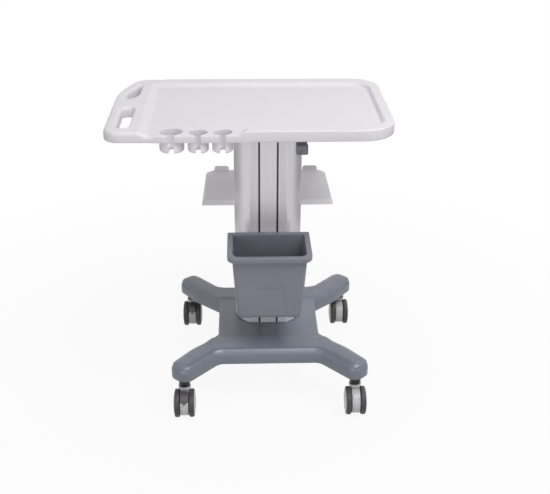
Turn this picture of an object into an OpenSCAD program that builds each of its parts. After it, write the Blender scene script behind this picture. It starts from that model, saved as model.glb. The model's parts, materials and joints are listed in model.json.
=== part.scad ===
// Mobile trolley for an ultrasound unit: a moulded tabletop on a telescopic column, with a bin, a rear
// shelf and an X-shaped base on four twin-wheel casters.
// +X is right, +Y is back, +Z is up; the origin is on the floor under the middle of the trolley.

/* [Tabletop] */
// Width of the tabletop, left to right
table_w = 696; // [640:1:760]
// Depth of the tabletop without the probe strip, front to back
table_d = 442; // [400:1:480]
// Height of the rim above the floor with the lift right down
table_z = 776; // [740:1:860]
// Thickness at the rim
table_t = 28; // [26:0.5:34]
// Depth of the tray below the rim
tray_t = 10; // [4:0.5:11]
// Width of the rim at the front and the back
rim_w = 40; // [28:1:48]
// Width of the rim at the right
rim_right_w = 27; // [20:1:44]
// Width of the raised end with the hand holes
handle_end_w = 94; // [80:1:130]
// Radius of the right front corner
corner_right_front_r = 82; // [40:1:100]
// Radius of the right back corner
corner_right_back_r = 72; // [40:1:100]
// Radius of the left front corner
corner_left_front_r = 38; // [20:1:60]
// Radius of the left back corner
corner_left_back_r = 45; // [20:1:60]
// How far the left back corner is drawn in
corner_left_back_cut = 42; // [20:1:60]
// Length of the slanted edge at the left back corner
slant_l = 122; // [80:1:150]
// Radius where the slanted edge starts
slant_r = 300; // [100:10:320]
// Rounding of the top edge
table_edge_r = 8; // [3:0.5:10]
// Rounding of the bottom edge
table_under_r = 5; // [2:0.5:8]
// Wall of the moulding round its hollow underside
table_wall = 5; // [4:0.5:7]

/* [Hand holes] */
// Width of the grip bar
grip_w = 29; // [24:1:34]
// Width of the hand holes
hand_hole_w = 31; // [26:1:36]
// Length of the front hand hole
hand_hole_l = 154; // [120:1:170]
// Distance of the front hand hole from the front edge
hand_hole_y = 35; // [32:1:50]
// Width of the bridge between the hand holes
bridge_w = 66; // [40:1:80]
// Lean of the front edge of the rear hand hole
rear_hand_lean = 37; // [10:1:40]

/* [Probe cups] */
// Bore of the wide cup
cup_wide_bore = 53; // [46:0.5:56]
// Bore of the two narrower cups
cup_bore = 44; // [36:0.5:48]
// Place of the wide cup along the tabletop
cup_wide_x = -188; // [-196:1:-180]
// Distance from the wide cup to the middle cup
cup_wide_pitch = 63; // [58:1:68]
// Distance from the middle cup to the right cup
cup_pitch = 58; // [52:1:62]
// Wall of a cup
cup_wall = 3; // [1.5:0.25:4]
// Depth of a cup from the strip to its foot
cup_h = 47; // [32:1:60]
// Thickness of the floor of a cup
cup_floor_t = 4; // [2:0.5:8]
// Rounding of the lower edge of a cup
cup_edge_r = 5; // [2:0.5:10]
// Width of the slot in the front of a cup
cup_slot_w = 13; // [8:0.5:18]
// Wall of the strip in front of the cups
cup_front_wall = 4; // [1:0.5:8]
// How far the strip stands in front of the tabletop's right part
strip_out = 3; // [2:1:14]
// Left end of the strip
strip_x0 = -222; // [-240:1:-218]
// Right end of the strip at its front edge
strip_x1 = -18; // [-32:1:10]
// Lean of the slope at the strip's right end
strip_slope = 18; // [8:1:30]

/* [Column] */
// Offset of the column and base to the right of the tabletop's centre
column_x = 46; // [20:1:60]
// Offset of the column behind the base's centre
column_back = 32; // [20:1:40]
// Width of the column
column_w = 180; // [170:1:200]
// Depth of the column between its flat faces
column_d = 136; // [132:1:144]
// Radius of the round sides
column_side_r = 77; // [74:1:86]
// Wall of the extrusion
column_wall = 4; // [3:0.5:5]
// Wall behind the front face, with the slots in it
front_wall = 14; // [13:0.5:15]
// Distance between the two front slots
slot_pitch = 48; // [40:1:56]
// Opening of a front slot
slot_w = 5; // [4:0.5:6]
// Depth of the lips beside a slot
slot_lip = 4; // [3:0.5:5]
// Width of the channel behind a slot
channel_w = 11; // [9:0.5:13]
// Depth of the channel behind a slot
channel_t = 6; // [5:0.5:6.5]
// Radius of a flute
flute_r = 1.4; // [0.8:0.1:2]
// Distance between flutes
flute_pitch = 5.5; // [4.5:0.5:7]
// Number of flutes beside each slot
flute_n = 3; // [1:1:3]
// Bore of the screw channels in the sides
screw_bore = 8.1; // [6:0.1:9]
// Wall round a screw channel
screw_wall = 3; // [2:0.5:4]
// Distance between the screw channels of one side
screw_pitch = 48; // [36:1:56]
// Length of the bolts in the column
bolt_grip = 30; // [20:1:50]

/* [Lift] */
// Travel of the lift
lift = 200; // [120:10:220]
// Clear height between the column's collar and the table
head_room = 42; // [40:1:60]
// Width of the inner mast
mast_w = 126; // [116:1:128]
// Depth of the inner mast
mast_d = 88; // [80:1:90]
// Wall of the inner mast
mast_wall = 4; // [3:0.5:5]
// Length of mast left in the column at the top of its travel
mast_overlap = 150; // [100:10:180]
// Height of the glide at the foot of the mast
glide_h = 40; // [20:1:60]
// Thickness of the collar on top of the column
collar_t = 6; // [4:0.5:10]
// Depth of the collar's skirt in the column
collar_skirt = 20; // [10:1:30]
// Diameter of the gas spring's cylinder
spring_d = 28; // [22:1:34]
// Wall of the gas spring's cylinder
spring_wall = 2; // [1.5:0.25:3]
// Diameter of the gas spring's rod
rod_d = 10; // [8:0.5:12]
// Diameter of the valve pin in the rod
valve_d = 5; // [3:0.5:6]
// Thickness of the plate under the table
mount_t = 8; // [5:0.5:10]
// Gap of sliding faces
glide_gap = 0.3; // [0.2:0.05:0.5]
// Radial gap of turning and pressed pins
pin_gap = 0.05; // [0.02:0.01:0.1]

/* [Release lever] */
// Diameter of the release shaft
shaft_d = 10; // [8:0.5:12]
// Distance of the shaft in front of the gas spring
shaft_y = 30; // [24:1:32]
// Width of the paddle
paddle_w = 30; // [20:1:40]
// Height of the paddle
paddle_h = 24; // [16:1:30]
// Depth of the paddle
paddle_t = 20; // [12:1:26]
// Reach of the lever in front of the shaft
lever_reach = 142; // [120:1:160]
// Drop of the paddle's top below the shaft
paddle_drop = 17; // [14:1:24]
// Thickness of the lever's arm
arm_t = 10; // [6:1:12]

/* [Bin] */
// Width of the bin over its rim
bin_w = 218; // [180:1:240]
// Depth of the bin over its rim
bin_d = 160; // [130:1:180]
// Height of the bin's rim above the floor
bin_z = 431; // [400:1:470]
// Height of the bin
bin_h = 194; // [150:1:210]
// Overhang of the rim
bin_rim_out = 12; // [11:0.5:16]
// Height of the rim's face
bin_rim_h = 14; // [10:0.5:20]
// Wall of the bin
bin_wall = 2.5; // [2:0.25:3]
// How far each side leans in towards the bottom
bin_side_in = 13; // [4:1:20]
// How far the front leans in towards the bottom
bin_front_in = 18; // [4:1:24]
// Radius of the bin's front corners
bin_r = 10; // [6:1:26]
// Radius of the bin's back corners
bin_back_r = 4; // [3:1:10]
// Rounding of the bin's bottom edge
bin_foot_r = 14; // [6:1:18]
// Width of the bin's bracket
bracket_w = 80; // [70:1:96]
// Thickness of the brackets
bracket_t = 3; // [2:0.25:3.5]

/* [Shelf] */
// Height of the shelf's floor
shelf_z = 495; // [450:1:540]
// Width of the shelf's floor
shelf_w = 340; // [280:1:380]
// Depth of the shelf behind the column's middle
shelf_d = 220; // [180:1:232]
// Thickness of the sheet
sheet_t = 2; // [1.5:0.25:3]
// Height of the flange at the front
flange_h = 13; // [10:1:28]
// Height of the flange at the back
flange_back_h = 4; // [4:0.5:10]
// Flare of the flanges
flange_out = 8; // [4:1:16]
// Cut at the back corners
shelf_chamfer = 20; // [10:1:40]
// Width of the upright tabs at the back
tab_w = 42; // [20:1:60]
// Height of the tabs
tab_h = 13; // [6:1:20]
// Distance of a tab from the middle
tab_x = 128; // [90:1:128]

/* [Base] */
// Height of the base's underside
base_z = 107; // [100:1:130]
// Thickness of the base
base_t = 43; // [38:1:56]
// Width of the waist
waist_w = 276; // [260:1:300]
// Depth between the front and back faces
beam_d = 364; // [340:1:380]
// Direction of the legs from the X axis
leg_a = 48; // [46:1:50]
// Width of a leg
leg_w = 64; // [58:1:70]
// Reach of a leg past its caster stem
leg_end = 30; // [28:1:36]
// Corner radius at the end of a leg
leg_tip_r = 28; // [20:1:28]
// Bulge of a leg's edge on the side of the waist
leg_bulge = 9; // [2:1:12]
// Fillet between the waist and a leg
waist_r = 15; // [8:1:24]
// Fillet between a beam and a leg
beam_r = 30; // [16:1:40]
// Rounding of the top edge
base_edge_r = 12; // [6:1:14]
// Wall of the base cover
base_wall = 4; // [3:0.5:5]
// Thickness of the base cover's roof
base_roof = 5; // [4:0.5:7]
// Thickness of the underplate
underplate_t = 3; // [2:0.5:5]
// Width of the frame's arms
arm_w = 36; // [30:1:38]
// Wall of the frame's arms
arm_wall = 3; // [2:0.5:4]
// Thickness of the frame's middle plate
frame_plate_t = 6; // [4:0.5:8]

/* [Casters] */
// Distance between the left and right stems
track = 451; // [440:1:470]
// Distance between the front and back stems
wheelbase = 471; // [450:1:480]
// Diameter of a wheel
wheel_d = 75; // [70:1:76]
// Width of a tyre
tyre_w = 13.5; // [11:0.5:15]
// Thickness of a tyre
tyre_t = 7.5; // [5:0.5:9]
// Rounding of a tyre's shoulders
tyre_r = 3; // [1:0.5:4]
// Distance between the middles of the two tyres
tyre_pitch = 38; // [38:0.5:42]
// How far a hub stands out of its tyre
hub_out = 4; // [2:0.5:6]
// Distance of the axle in front of the stem
caster_trail = 20.5; // [18:0.5:24]
// Diameter of the stem
stem_d = 12; // [10:0.5:13]
// Diameter of the axle
axle_d = 8; // [6:0.5:9]
// Width of the housing between the wheels
housing_w = 22; // [20:0.5:22.5]
// Diameter of the neck on top of the housing
neck_d = 32; // [30:0.5:34]
// Height of the top of the neck
neck_z = 84; // [80:0.5:90]
// Diameter of the collar under a leg
caster_collar_d = 29; // [24:0.5:34]
// Thickness of a brake pedal
pedal_t = 5; // [3:0.5:6]
// Lower end of a brake pedal round the axle, from the front
pedal_a0 = 34; // [30:1:40]
// Upper end of a brake pedal round the axle, from the front
pedal_a1 = 86; // [76:1:88]
// Travel of a brake pedal
pedal_turn = 14; // [8:1:18]

/* [Hidden] */
$fn = 48;
// Points in each rounded corner of a moulding
arc_steps = 6;
// Facets of the column's round sides
column_facets = 120;
// Radius of a corner that is left sharp
least_r = 0.2;
// Overshoot of cuts
over = 1;
// Gap between pressed or seated pieces of one body
seat_gap = 0.1;

wheel_r = wheel_d / 2;
stem_x = track / 2;
stem_y = wheelbase / 2;
leg_dir = [cos(leg_a), sin(leg_a)];
leg_side = [sin(leg_a), -cos(leg_a)];
leg_reach = (leg_end - leg_tip_r) * leg_dir[1] - (leg_w / 2 - leg_tip_r) * leg_side[1] + leg_tip_r;
base_y = (caster_trail + wheel_r - leg_reach) / 2;
base_top = base_z + base_t;
roof_z = base_top - base_roof;
frame_top = roof_z - frame_plate_t;
frame_z = base_z + underplate_t;

column_y = base_y + column_back;
column_front = column_y - column_d / 2;
column_rear = column_y + column_d / 2;
column_c = column_w / 2 - column_side_r;
table_bottom = table_z - table_t;
mount_z = table_bottom - mount_t;
collar_top = table_bottom - head_room;
column_top = collar_top - collar_t;
screw_sink = 1;
screw_x = column_c + sqrt(pow(column_side_r - column_wall, 2) - pow(screw_pitch / 2, 2))
    - screw_bore / 2 - screw_wall + screw_sink;
bolt_head_d = 13;
bolt_head_t = 6;

tray_z = table_z - tray_t;
pan_t = 3;
pan_z = table_bottom;
hollow_top = tray_z - table_wall;
tray_x0 = handle_end_w - table_w / 2;
tray_x1 = table_w / 2 - rim_right_w;
tray_y = table_d / 2 - rim_w;
strip_y = -table_d / 2 - strip_out;
cup_bores = [cup_wide_bore, cup_bore, cup_bore];
cup_xs = [cup_wide_x, cup_wide_x + cup_wide_pitch, cup_wide_x + cup_wide_pitch + cup_pitch];
tray_corner_r = 45;
tray_inner_r = 10;
strip_r = 8;
hollow_edge = 16;
hollow_x0 = tray_x0 + hollow_edge;
hollow_x1 = table_w / 2 - 2 * hollow_edge;
hollow_y0 = strip_y + cup_front_wall + cup_wide_bore + 2 * cup_wall + table_wall;
hollow_y1 = table_d / 2 - hollow_edge;
hollow_r = 20;

mast_bottom = column_top - lift - mast_overlap;
crossbar_t = 10;
crossbar_d = 40;
shaft_drop = 14;
shaft_z = mount_z - shaft_drop;
finger_t = 8;
finger_w = 12;
finger_wall = 4;
finger_past = 1;
finger_under = shaft_z - finger_t / 2;
valve_gap = 0.4;
valve_top = finger_under - valve_gap;
valve_out = 6;
valve_travel = 6;
rod_top = valve_top - valve_out;
nut_t = 6;
nut_d = 17;
rod_end = 2;
crossbar_top = rod_top - nut_t - rod_end;
valve_l = 26;
spring_z = base_top;
spring_foot_t = 5;
spring_foot_d = 50;
rod_show = 36;
spring_top = crossbar_top - crossbar_t - rod_show;
gland_t = 16;
piston_t = 14;
spring_reserve = 10;
piston_z = spring_top - gland_t - lift - piston_t - spring_reserve;
bush_d = 14;
bush_flange_d = 20;
bush_flange_t = 2;

slot_xs = [-slot_pitch / 2, slot_pitch / 2];
mount_screw_out_x = 21;
mount_screw_out_y = 18;
mount_screw_x = mast_w / 2 + mount_screw_out_x;
mount_screw_y = mast_d / 2 + mount_screw_out_y;
mount_edge_x = 16;
mount_edge_y = 13;
mount_w = 2 * (mount_screw_x + mount_edge_x);
mount_d = 2 * (mount_screw_y + mount_edge_y);
mount_r = 12;
screw_d = 6;
screw_head_d = 11;
screw_head_t = 4;
boss_d = 16;

bin_gap = 0.4;
bin_back = column_front - bracket_t - bin_gap;
bin_y0 = bin_back - bin_d;
bin_wall_y1 = bin_back - bin_rim_out;
prong_t = 3;
prong_y = bin_wall_y1 + (bin_rim_out - bin_wall - prong_t) / 2;
prong_top = bin_z - bin_wall - glide_gap;
bracket_below = 4;
bracket_under = 10;
bracket_leg = 30;
bracket_bolt_up = 12;
bracket_top = bin_z - bracket_below;
bracket_step_z = bin_z - bin_rim_h - bracket_under;
bracket_bottom = bracket_step_z - bracket_leg;
bracket_bolt_z = bracket_bottom + bracket_bolt_up;
bracket_head_d = 9;
bracket_head_t = 3.5;
tee_gap = 0.4;
tee_w = channel_w - tee_gap;
tee_t = channel_t - tee_gap;

shelf_bracket_w = 100;
shelf_bracket_leg = 32;
shelf_bolt_x = 32;
shelf_bolt_drop = 18;
shelf_gap = 0.5;
shelf_r = 4;
tab_r = 7;
tab_in = 0.5;

frame_margin_x = 28;
frame_margin_y = 42;
frame_w = waist_w - 2 * frame_margin_x;
frame_d = beam_d - 2 * frame_margin_y;
frame_lap = 62;
frame_sink = 1;
arm_past = 19;
base_screw_back = 91;

axle_in = 1;
axle_l = tyre_pitch + tyre_w + 2 * (hub_out - axle_in);
housing_in = 4.5;
housing_r = wheel_r - housing_in;
neck_lift = 1.5;
pedal_gap = 1.5;
pedal_web_w = 3;
pedal_web_a = 2;
pedal_slot_under = 5;
pedal_slot_over = 3;
pedal_hub_r = 9;
stem_in_neck = 27;
stem_bottom = neck_z - stem_in_neck;
stem_boss_d = 34;
// Steps of a hub's profile, inwards from its rim and from its outer face
hub_boss_in = 12;
hub_rim_in = 1;
hub_rim_out = 0.5;
hub_shoulder = 2.4;
hub_dome_in = 10.5;
hub_dome_t = 0.7;

// Corners of the casters: side, front or back, and whether it has a brake
front_left = [-1, -1, true];
front_right = [1, -1, false];
rear_left = [-1, 1, true];
rear_right = [1, 1, false];
casters = [front_left, front_right, rear_left, rear_right];

// Plane geometry of rounded outlines

function unit(v) = v / norm(v);
function left_of(v) = [-v[1], v[0]];
function cross2(a, b) = a[0] * b[1] - a[1] * b[0];
function spin(v, a) = [v[0] * cos(a) - v[1] * sin(a), v[0] * sin(a) + v[1] * cos(a)];
function flat(p) = [p[0], p[1]];
function reversed(list) = [for (i = [len(list) - 1:-1:0]) list[i]];

// Where the line through p along u meets the line through q along v
function meet(p, u, q, v) = p + u * cross2(q - p, v) / cross2(u, v);

// Arc in place of one corner of an anticlockwise outline that is moved in by inset
function corner_arc(before, corner, after, inset) =
    let (
        u = unit(flat(corner) - flat(before)),
        v = unit(flat(after) - flat(corner)),
        side = sign(cross2(u, v)),
        turn = side * acos(u * v),
        tip = meet(flat(corner) + left_of(u) * inset, u, flat(corner) + left_of(v) * inset, v),
        r = max(corner[2] - side * inset, least_r),
        start = tip - u * r * tan(abs(turn) / 2),
        centre = start + left_of(u) * side * r
    )
    [for (k = [0:arc_steps]) centre + spin(start - centre, turn * k / arc_steps)];

// Outline with each corner [x, y, radius] rounded
function rounded(corners, inset = 0) =
    let (n = len(corners))
    [for (i = [0:n - 1])
        each corner_arc(corners[(i + n - 1) % n], corners[i], corners[(i + 1) % n], inset)];

function raised(ring, z) = [for (p = ring) [p[0], p[1], z]];

// Rings of a top edge rounded with radius r, from z up
function round_over(corners, z, r, inset = 0, steps = 4) =
    [for (k = [0:steps]) raised(rounded(corners, inset + r * (1 - cos(90 * k / steps))),
        z + r * sin(90 * k / steps))];

// Rings of a bottom edge rounded with radius r, from z up
function round_under(corners, z, r, inset = 0, steps = 3) =
    [for (k = [0:steps]) raised(rounded(corners, inset + r * (1 - sin(90 * k / steps))),
        z + r * (1 - cos(90 * k / steps)))];

function box_corners(x0, x1, y0, y1, r) = [[x0, y0, r], [x1, y0, r], [x1, y1, r], [x0, y1, r]];

function middle(ring) = [for (p = ring) 1] * ring / len(ring);

// Solid through a stack of rings that have the same number of points, with each end
// closed by a fan from the middle of its ring
module loft(rings) {
    n = len(rings[0]);
    rows = len(rings);
    top = (rows - 1) * n;
    hub = rows * n;
    polyhedron(
        points = concat(
            [for (ring = rings) each ring],
            [middle(rings[0]), middle(rings[rows - 1])]),
        faces = [
            for (i = [0:n - 1])
                [i, (i + 1) % n, hub],
            for (row = [0:rows - 2]) for (i = [0:n - 1])
                [row * n + i, row * n + n + i, row * n + n + (i + 1) % n],
            for (row = [0:rows - 2]) for (i = [0:n - 1])
                [row * n + i, row * n + n + (i + 1) % n, row * n + (i + 1) % n],
            for (i = [0:n - 1])
                [top + (i + 1) % n, top + i, hub + 1]
        ],
        convexity = 10);
}

module plate(corners, z, t, inset = 0) {
    translate([0, 0, z])
        linear_extrude(t)
            polygon(rounded(corners, inset));
}

module at_table() {
    translate([0, base_y, 0]) children();
}

module at_base() {
    translate([column_x, base_y, 0]) children();
}

module at_column() {
    translate([column_x, column_y, 0]) children();
}

// Cylinder along X through the point [x, y, z]
module rod_x(d, l, x = 0, y = 0, z = 0) {
    translate([x, y, z])
        rotate([0, 90, 0])
            cylinder(d = d, h = l, center = true);
}

// Cylinder along Y from the point [x, y, z] towards the back
module rod_y(d, l, x = 0, y = 0, z = 0) {
    translate([x, y, z])
        rotate([-90, 0, 0])
            cylinder(d = d, h = l);
}

// Piece of a ring round the X axis, with its angles from the front upwards
module ring_x(r0, r1, w, a0, a1) {
    rotate([90, 0, -90])
        rotate([0, 0, a0])
            rotate_extrude(angle = a1 - a0)
                translate([r0, -w / 2])
                    square([r1 - r0, w]);
}

// Tabletop

table_corners = [
    [-table_w / 2, strip_y, corner_left_front_r],
    [strip_x1, strip_y, strip_r],
    [strip_x1 + strip_slope, -table_d / 2, strip_r],
    [table_w / 2, -table_d / 2, corner_right_front_r],
    [table_w / 2, table_d / 2, corner_right_back_r],
    [corner_left_back_cut - table_w / 2, table_d / 2, corner_left_back_r],
    [-table_w / 2, table_d / 2 - slant_l, slant_r]
];

tray_corners = [
    [strip_x0, strip_y - over, least_r],
    [strip_x1, strip_y - over, least_r],
    [strip_x1 + strip_slope, -tray_y, least_r],
    [tray_x1, -tray_y, tray_corner_r],
    [tray_x1, tray_y, tray_corner_r],
    [tray_x0, tray_y, tray_inner_r],
    [tray_x0, -tray_y, tray_inner_r],
    [strip_x0, -tray_y, tray_inner_r]
];

hollow_corners = box_corners(hollow_x0, hollow_x1, hollow_y0, hollow_y1, hollow_r);

hand_x0 = grip_w - table_w / 2;
hand_x1 = hand_x0 + hand_hole_w;
hand_y0 = hand_hole_y - table_d / 2;
hand_y1 = hand_y0 + hand_hole_l;
hand_r = 11;
slant_dir = unit([corner_left_back_cut, slant_l]);
slant_in = [-table_w / 2, table_d / 2 - slant_l] - left_of(slant_dir) * grip_w;
rear_hand_y0 = hand_y1 + bridge_w;
rear_hand_r = 6;
rear_hand_end = 22;
rear_hand_tip_w = 6;
rear_hand_tip_r = 2.5;
rear_hand_tip = table_d / 2 - grip_w - rear_hand_end;
rear_hand_tip_x = meet(slant_in, slant_dir, [0, rear_hand_tip], [1, 0])[0];

front_hand_corners = box_corners(hand_x0, hand_x1, hand_y0, hand_y1, hand_r);
rear_hand_corners = [
    [hand_x0, rear_hand_y0, rear_hand_r],
    [hand_x1, rear_hand_y0 + rear_hand_lean, hand_r],
    [max(hand_x1, rear_hand_tip_x + rear_hand_tip_w), rear_hand_tip, rear_hand_tip_r],
    [rear_hand_tip_x, rear_hand_tip, rear_hand_tip_r],
    [hand_x0, slant_in[1], hand_r]
];

function cup_r(i) = cup_bores[i] / 2 + cup_wall;

// Distance of a cup's centre from the front of the strip
function cup_y(i) = cup_r(i) + cup_front_wall;

module at_cup(i) {
    translate([cup_xs[i], strip_y + cup_y(i), 0]) children();
}

module mount_screw_places() {
    for (x = [-mount_screw_x, mount_screw_x])
        for (y = [-mount_screw_y, mount_screw_y])
            translate([column_x + x, column_back + y, 0])
                children();
}

module tabletop() {
    color("#e6e4e8")
        at_table() {
            difference() {
                loft(concat(
                    round_under(table_corners, table_bottom, table_under_r),
                    round_over(table_corners, table_z - table_edge_r, table_edge_r)));
                plate(tray_corners, tray_z, tray_t + over);
                plate(hollow_corners, table_bottom - over, hollow_top - table_bottom + over);
                plate(front_hand_corners, table_bottom - over, table_t + 2 * over);
                plate(rear_hand_corners, table_bottom - over, table_t + 2 * over);
                for (i = [0:len(cup_xs) - 1])
                    at_cup(i) {
                        translate([0, 0, table_bottom - over])
                            cylinder(r = cup_r(i) + pin_gap, h = table_t);
                        translate([-cup_slot_w / 2, -cup_y(i) - over, table_bottom - over])
                            cube([cup_slot_w, cup_y(i) + over, table_t]);
                    }
            }
            mount_screw_places()
                difference() {
                    translate([0, 0, pan_z + pan_t])
                        cylinder(d = boss_d, h = hollow_top - pan_z - pan_t);
                    translate([0, 0, pan_z])
                        cylinder(d = screw_d + 2 * pin_gap, h = hollow_top - pan_z - over);
                }
        }
}

module table_underpan() {
    color("#d8d7db")
        at_table()
            difference() {
                plate(hollow_corners, pan_z, pan_t, inset = seat_gap);
                mount_screw_places()
                    translate([0, 0, pan_z - over])
                        cylinder(d = screw_d + 2 * pin_gap, h = pan_t + 2 * over);
            }
}

module table_mount_plate() {
    color("#5b5e63")
        difference() {
            at_column()
                plate(box_corners(-mount_w / 2, mount_w / 2, -mount_d / 2, mount_d / 2, mount_r),
                    mount_z, mount_t);
            at_table()
                mount_screw_places()
                    translate([0, 0, mount_z - over])
                        cylinder(d = screw_d + 2 * pin_gap, h = mount_t + 2 * over);
        }
}

module table_screws() {
    color("#9a9ca0")
        at_table()
            mount_screw_places() {
                translate([0, 0, mount_z - screw_head_t])
                    cylinder(d = screw_head_d, h = screw_head_t);
                translate([0, 0, mount_z - screw_head_t])
                    cylinder(d = screw_d, h = hollow_top - mount_z + screw_head_t - 2 * over);
            }
}

module probe_cup(i) {
    r = cup_r(i);
    foot = tray_z - cup_h;
    edge = [r - cup_edge_r, foot + cup_edge_r];
    color("#d3d1d6")
        at_table()
            at_cup(i)
                difference() {
                    rotate_extrude()
                        polygon(concat(
                            [[0, foot]],
                            [for (k = [0:arc_steps]) edge + spin([0, -cup_edge_r], 90 * k / arc_steps)],
                            [
                                [r, tray_z],
                                [r - cup_wall, tray_z],
                                [r - cup_wall, foot + cup_floor_t],
                                [0, foot + cup_floor_t]
                            ]));
                    translate([-cup_slot_w / 2, -r - over, foot - over])
                        cube([cup_slot_w, r + over, cup_h + 2 * over]);
                }
}

// Column and lift

module column_outline(grow = 0) {
    intersection() {
        union() {
            for (x = [-column_c, column_c])
                translate([x, 0])
                    circle(r = column_side_r + grow, $fn = column_facets);
        }
        square([column_w + 2 * grow, column_d + 2 * grow], center = true);
    }
}

// Space inside the extrusion, drawn in by inset
module column_bore(inset = 0) {
    intersection() {
        union() {
            for (x = [-column_c, column_c])
                translate([x, 0])
                    circle(r = column_side_r - column_wall - inset, $fn = column_facets);
        }
        translate([-column_w / 2, front_wall + inset - column_d / 2])
            square([column_w, column_d - front_wall - column_wall - 2 * inset]);
    }
}

// Space of the bore between the screw channels, drawn in by gap
module guide_section(gap) {
    intersection() {
        column_bore(gap);
        square([2 * (screw_x - screw_bore / 2 - screw_wall - gap), column_d], center = true);
    }
}

module screw_places() {
    for (x = [-screw_x, screw_x])
        for (y = [-screw_pitch / 2, screw_pitch / 2])
            translate([x, y])
                children();
}

module column_section() {
    front = -column_d / 2;
    difference() {
        column_outline();
        difference() {
            column_bore();
            screw_places()
                circle(d = screw_bore + 2 * screw_wall);
        }
        screw_places()
            circle(d = screw_bore);
        for (x = slot_xs) {
            translate([x - slot_w / 2, front - over])
                square([slot_w, slot_lip + 2 * over]);
            translate([x - channel_w / 2, front + slot_lip])
                square([channel_w, channel_t]);
            for (k = [1:flute_n])
                translate([x + sign(x) * (slot_w / 2 + k * flute_pitch), front])
                    circle(r = flute_r);
        }
    }
}

module column() {
    color("#c2c1c4")
        difference() {
            at_column()
                translate([0, 0, base_top])
                    linear_extrude(column_top - base_top)
                        column_section();
            for (x = [-shelf_bolt_x, shelf_bolt_x])
                rod_y(screw_d + 2 * pin_gap, 3 * column_wall,
                    column_x + x, column_rear - 2 * column_wall, shelf_bolt_z);
        }
}

module mast_section(grow = 0) {
    square([mast_w + 2 * grow, mast_d + 2 * grow], center = true);
}

module column_collar() {
    color("#3b3c40")
        at_column()
            difference() {
                union() {
                    translate([0, 0, column_top])
                        linear_extrude(collar_t)
                            column_outline();
                    translate([0, 0, column_top - collar_skirt])
                        linear_extrude(collar_skirt)
                            guide_section(seat_gap);
                }
                translate([0, 0, column_top - collar_skirt - over])
                    linear_extrude(collar_skirt + collar_t + 2 * over)
                        mast_section(glide_gap);
            }
}

module column_bolts() {
    color("#8d8f93")
        at_column()
            screw_places() {
                translate([0, 0, frame_top - bolt_head_t])
                    cylinder(d = bolt_head_d, h = bolt_head_t);
                translate([0, 0, frame_top - bolt_head_t])
                    cylinder(d = screw_bore - 2 * pin_gap,
                        h = base_top + bolt_grip - frame_top + bolt_head_t);
            }
}

module inner_mast() {
    color("#b4b4b7")
        at_column()
            difference() {
                translate([0, 0, mast_bottom])
                    linear_extrude(mount_z - mast_bottom)
                        difference() {
                            mast_section();
                            mast_section(-mast_wall);
                        }
                rod_x(bush_d + 2 * pin_gap, mast_w + 2 * over, 0, -shaft_y, shaft_z);
            }
}

module mast_glide() {
    color("#2f3033")
        at_column()
            translate([0, 0, mast_bottom])
                linear_extrude(glide_h)
                    difference() {
                        guide_section(glide_gap);
                        mast_section(pin_gap);
                    }
}

module mast_crossbar() {
    color("#6a6d72")
        at_column()
            difference() {
                translate([mast_wall - mast_w / 2, -crossbar_d / 2, crossbar_top - crossbar_t])
                    cube([mast_w - 2 * mast_wall, crossbar_d, crossbar_t]);
                translate([0, 0, crossbar_top - crossbar_t - over])
                    cylinder(d = rod_d + 2 * pin_gap, h = crossbar_t + 2 * over);
            }
}

module gas_spring_cylinder() {
    color("#222326")
        at_column()
            difference() {
                union() {
                    translate([0, 0, spring_z])
                        cylinder(d = spring_foot_d, h = spring_foot_t);
                    translate([0, 0, spring_z])
                        cylinder(d = spring_d, h = spring_top - spring_z);
                }
                translate([0, 0, spring_z + spring_foot_t])
                    cylinder(d = spring_d - 2 * spring_wall,
                        h = spring_top - gland_t - spring_z - spring_foot_t);
                translate([0, 0, spring_top - gland_t - over])
                    cylinder(d = rod_d + 2 * pin_gap, h = gland_t + 2 * over);
            }
}

module gas_spring_rod() {
    color("#d4d5d8")
        at_column()
            difference() {
                union() {
                    translate([0, 0, piston_z])
                        cylinder(d = rod_d, h = rod_top - piston_z);
                    translate([0, 0, piston_z])
                        cylinder(d = spring_d - 2 * spring_wall - 2 * pin_gap, h = piston_t);
                }
                translate([0, 0, valve_top - valve_l - valve_travel])
                    cylinder(d = valve_d + 2 * pin_gap, h = valve_l + valve_travel);
            }
}

module rod_nut() {
    color("#9a9ca0")
        at_column()
            difference() {
                translate([0, 0, crossbar_top])
                    cylinder(d = nut_d, h = nut_t, $fn = 6);
                translate([0, 0, crossbar_top - over])
                    cylinder(d = rod_d + 2 * pin_gap, h = nut_t + 2 * over);
            }
}

module valve_pin() {
    color("#c9a24a")
        at_column()
            translate([0, 0, valve_top - valve_l])
                cylinder(d = valve_d, h = valve_l);
}

// Release lever

lever_gap = 1;
lever_wall = 5;
lever_arm_in = 1;
lever_hub_w = paddle_w - 2 * lever_arm_in;
lever_hub_d = shaft_d + 2 * lever_wall;
paddle_x = mast_w / 2 + bush_flange_t + lever_gap + lever_hub_w / 2;
paddle_r = 5;
shaft_x0 = -mast_w / 2 - bush_flange_t;
shaft_x1 = paddle_x + lever_hub_w / 2 - lever_arm_in;

module release_shaft() {
    color("#8d8f93")
        at_column()
            rod_x(shaft_d, shaft_x1 - shaft_x0, (shaft_x0 + shaft_x1) / 2, -shaft_y, shaft_z);
}

module shaft_bushes() {
    color("#2f3033")
        at_column()
            for (side = [-1, 1])
                difference() {
                    union() {
                        rod_x(bush_d, mast_wall, side * (mast_w - mast_wall) / 2, -shaft_y, shaft_z);
                        rod_x(bush_flange_d, bush_flange_t,
                            side * (mast_w + bush_flange_t) / 2, -shaft_y, shaft_z);
                    }
                    rod_x(shaft_d + 2 * pin_gap, mast_w, side * mast_w / 2, -shaft_y, shaft_z);
                }
}

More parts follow.
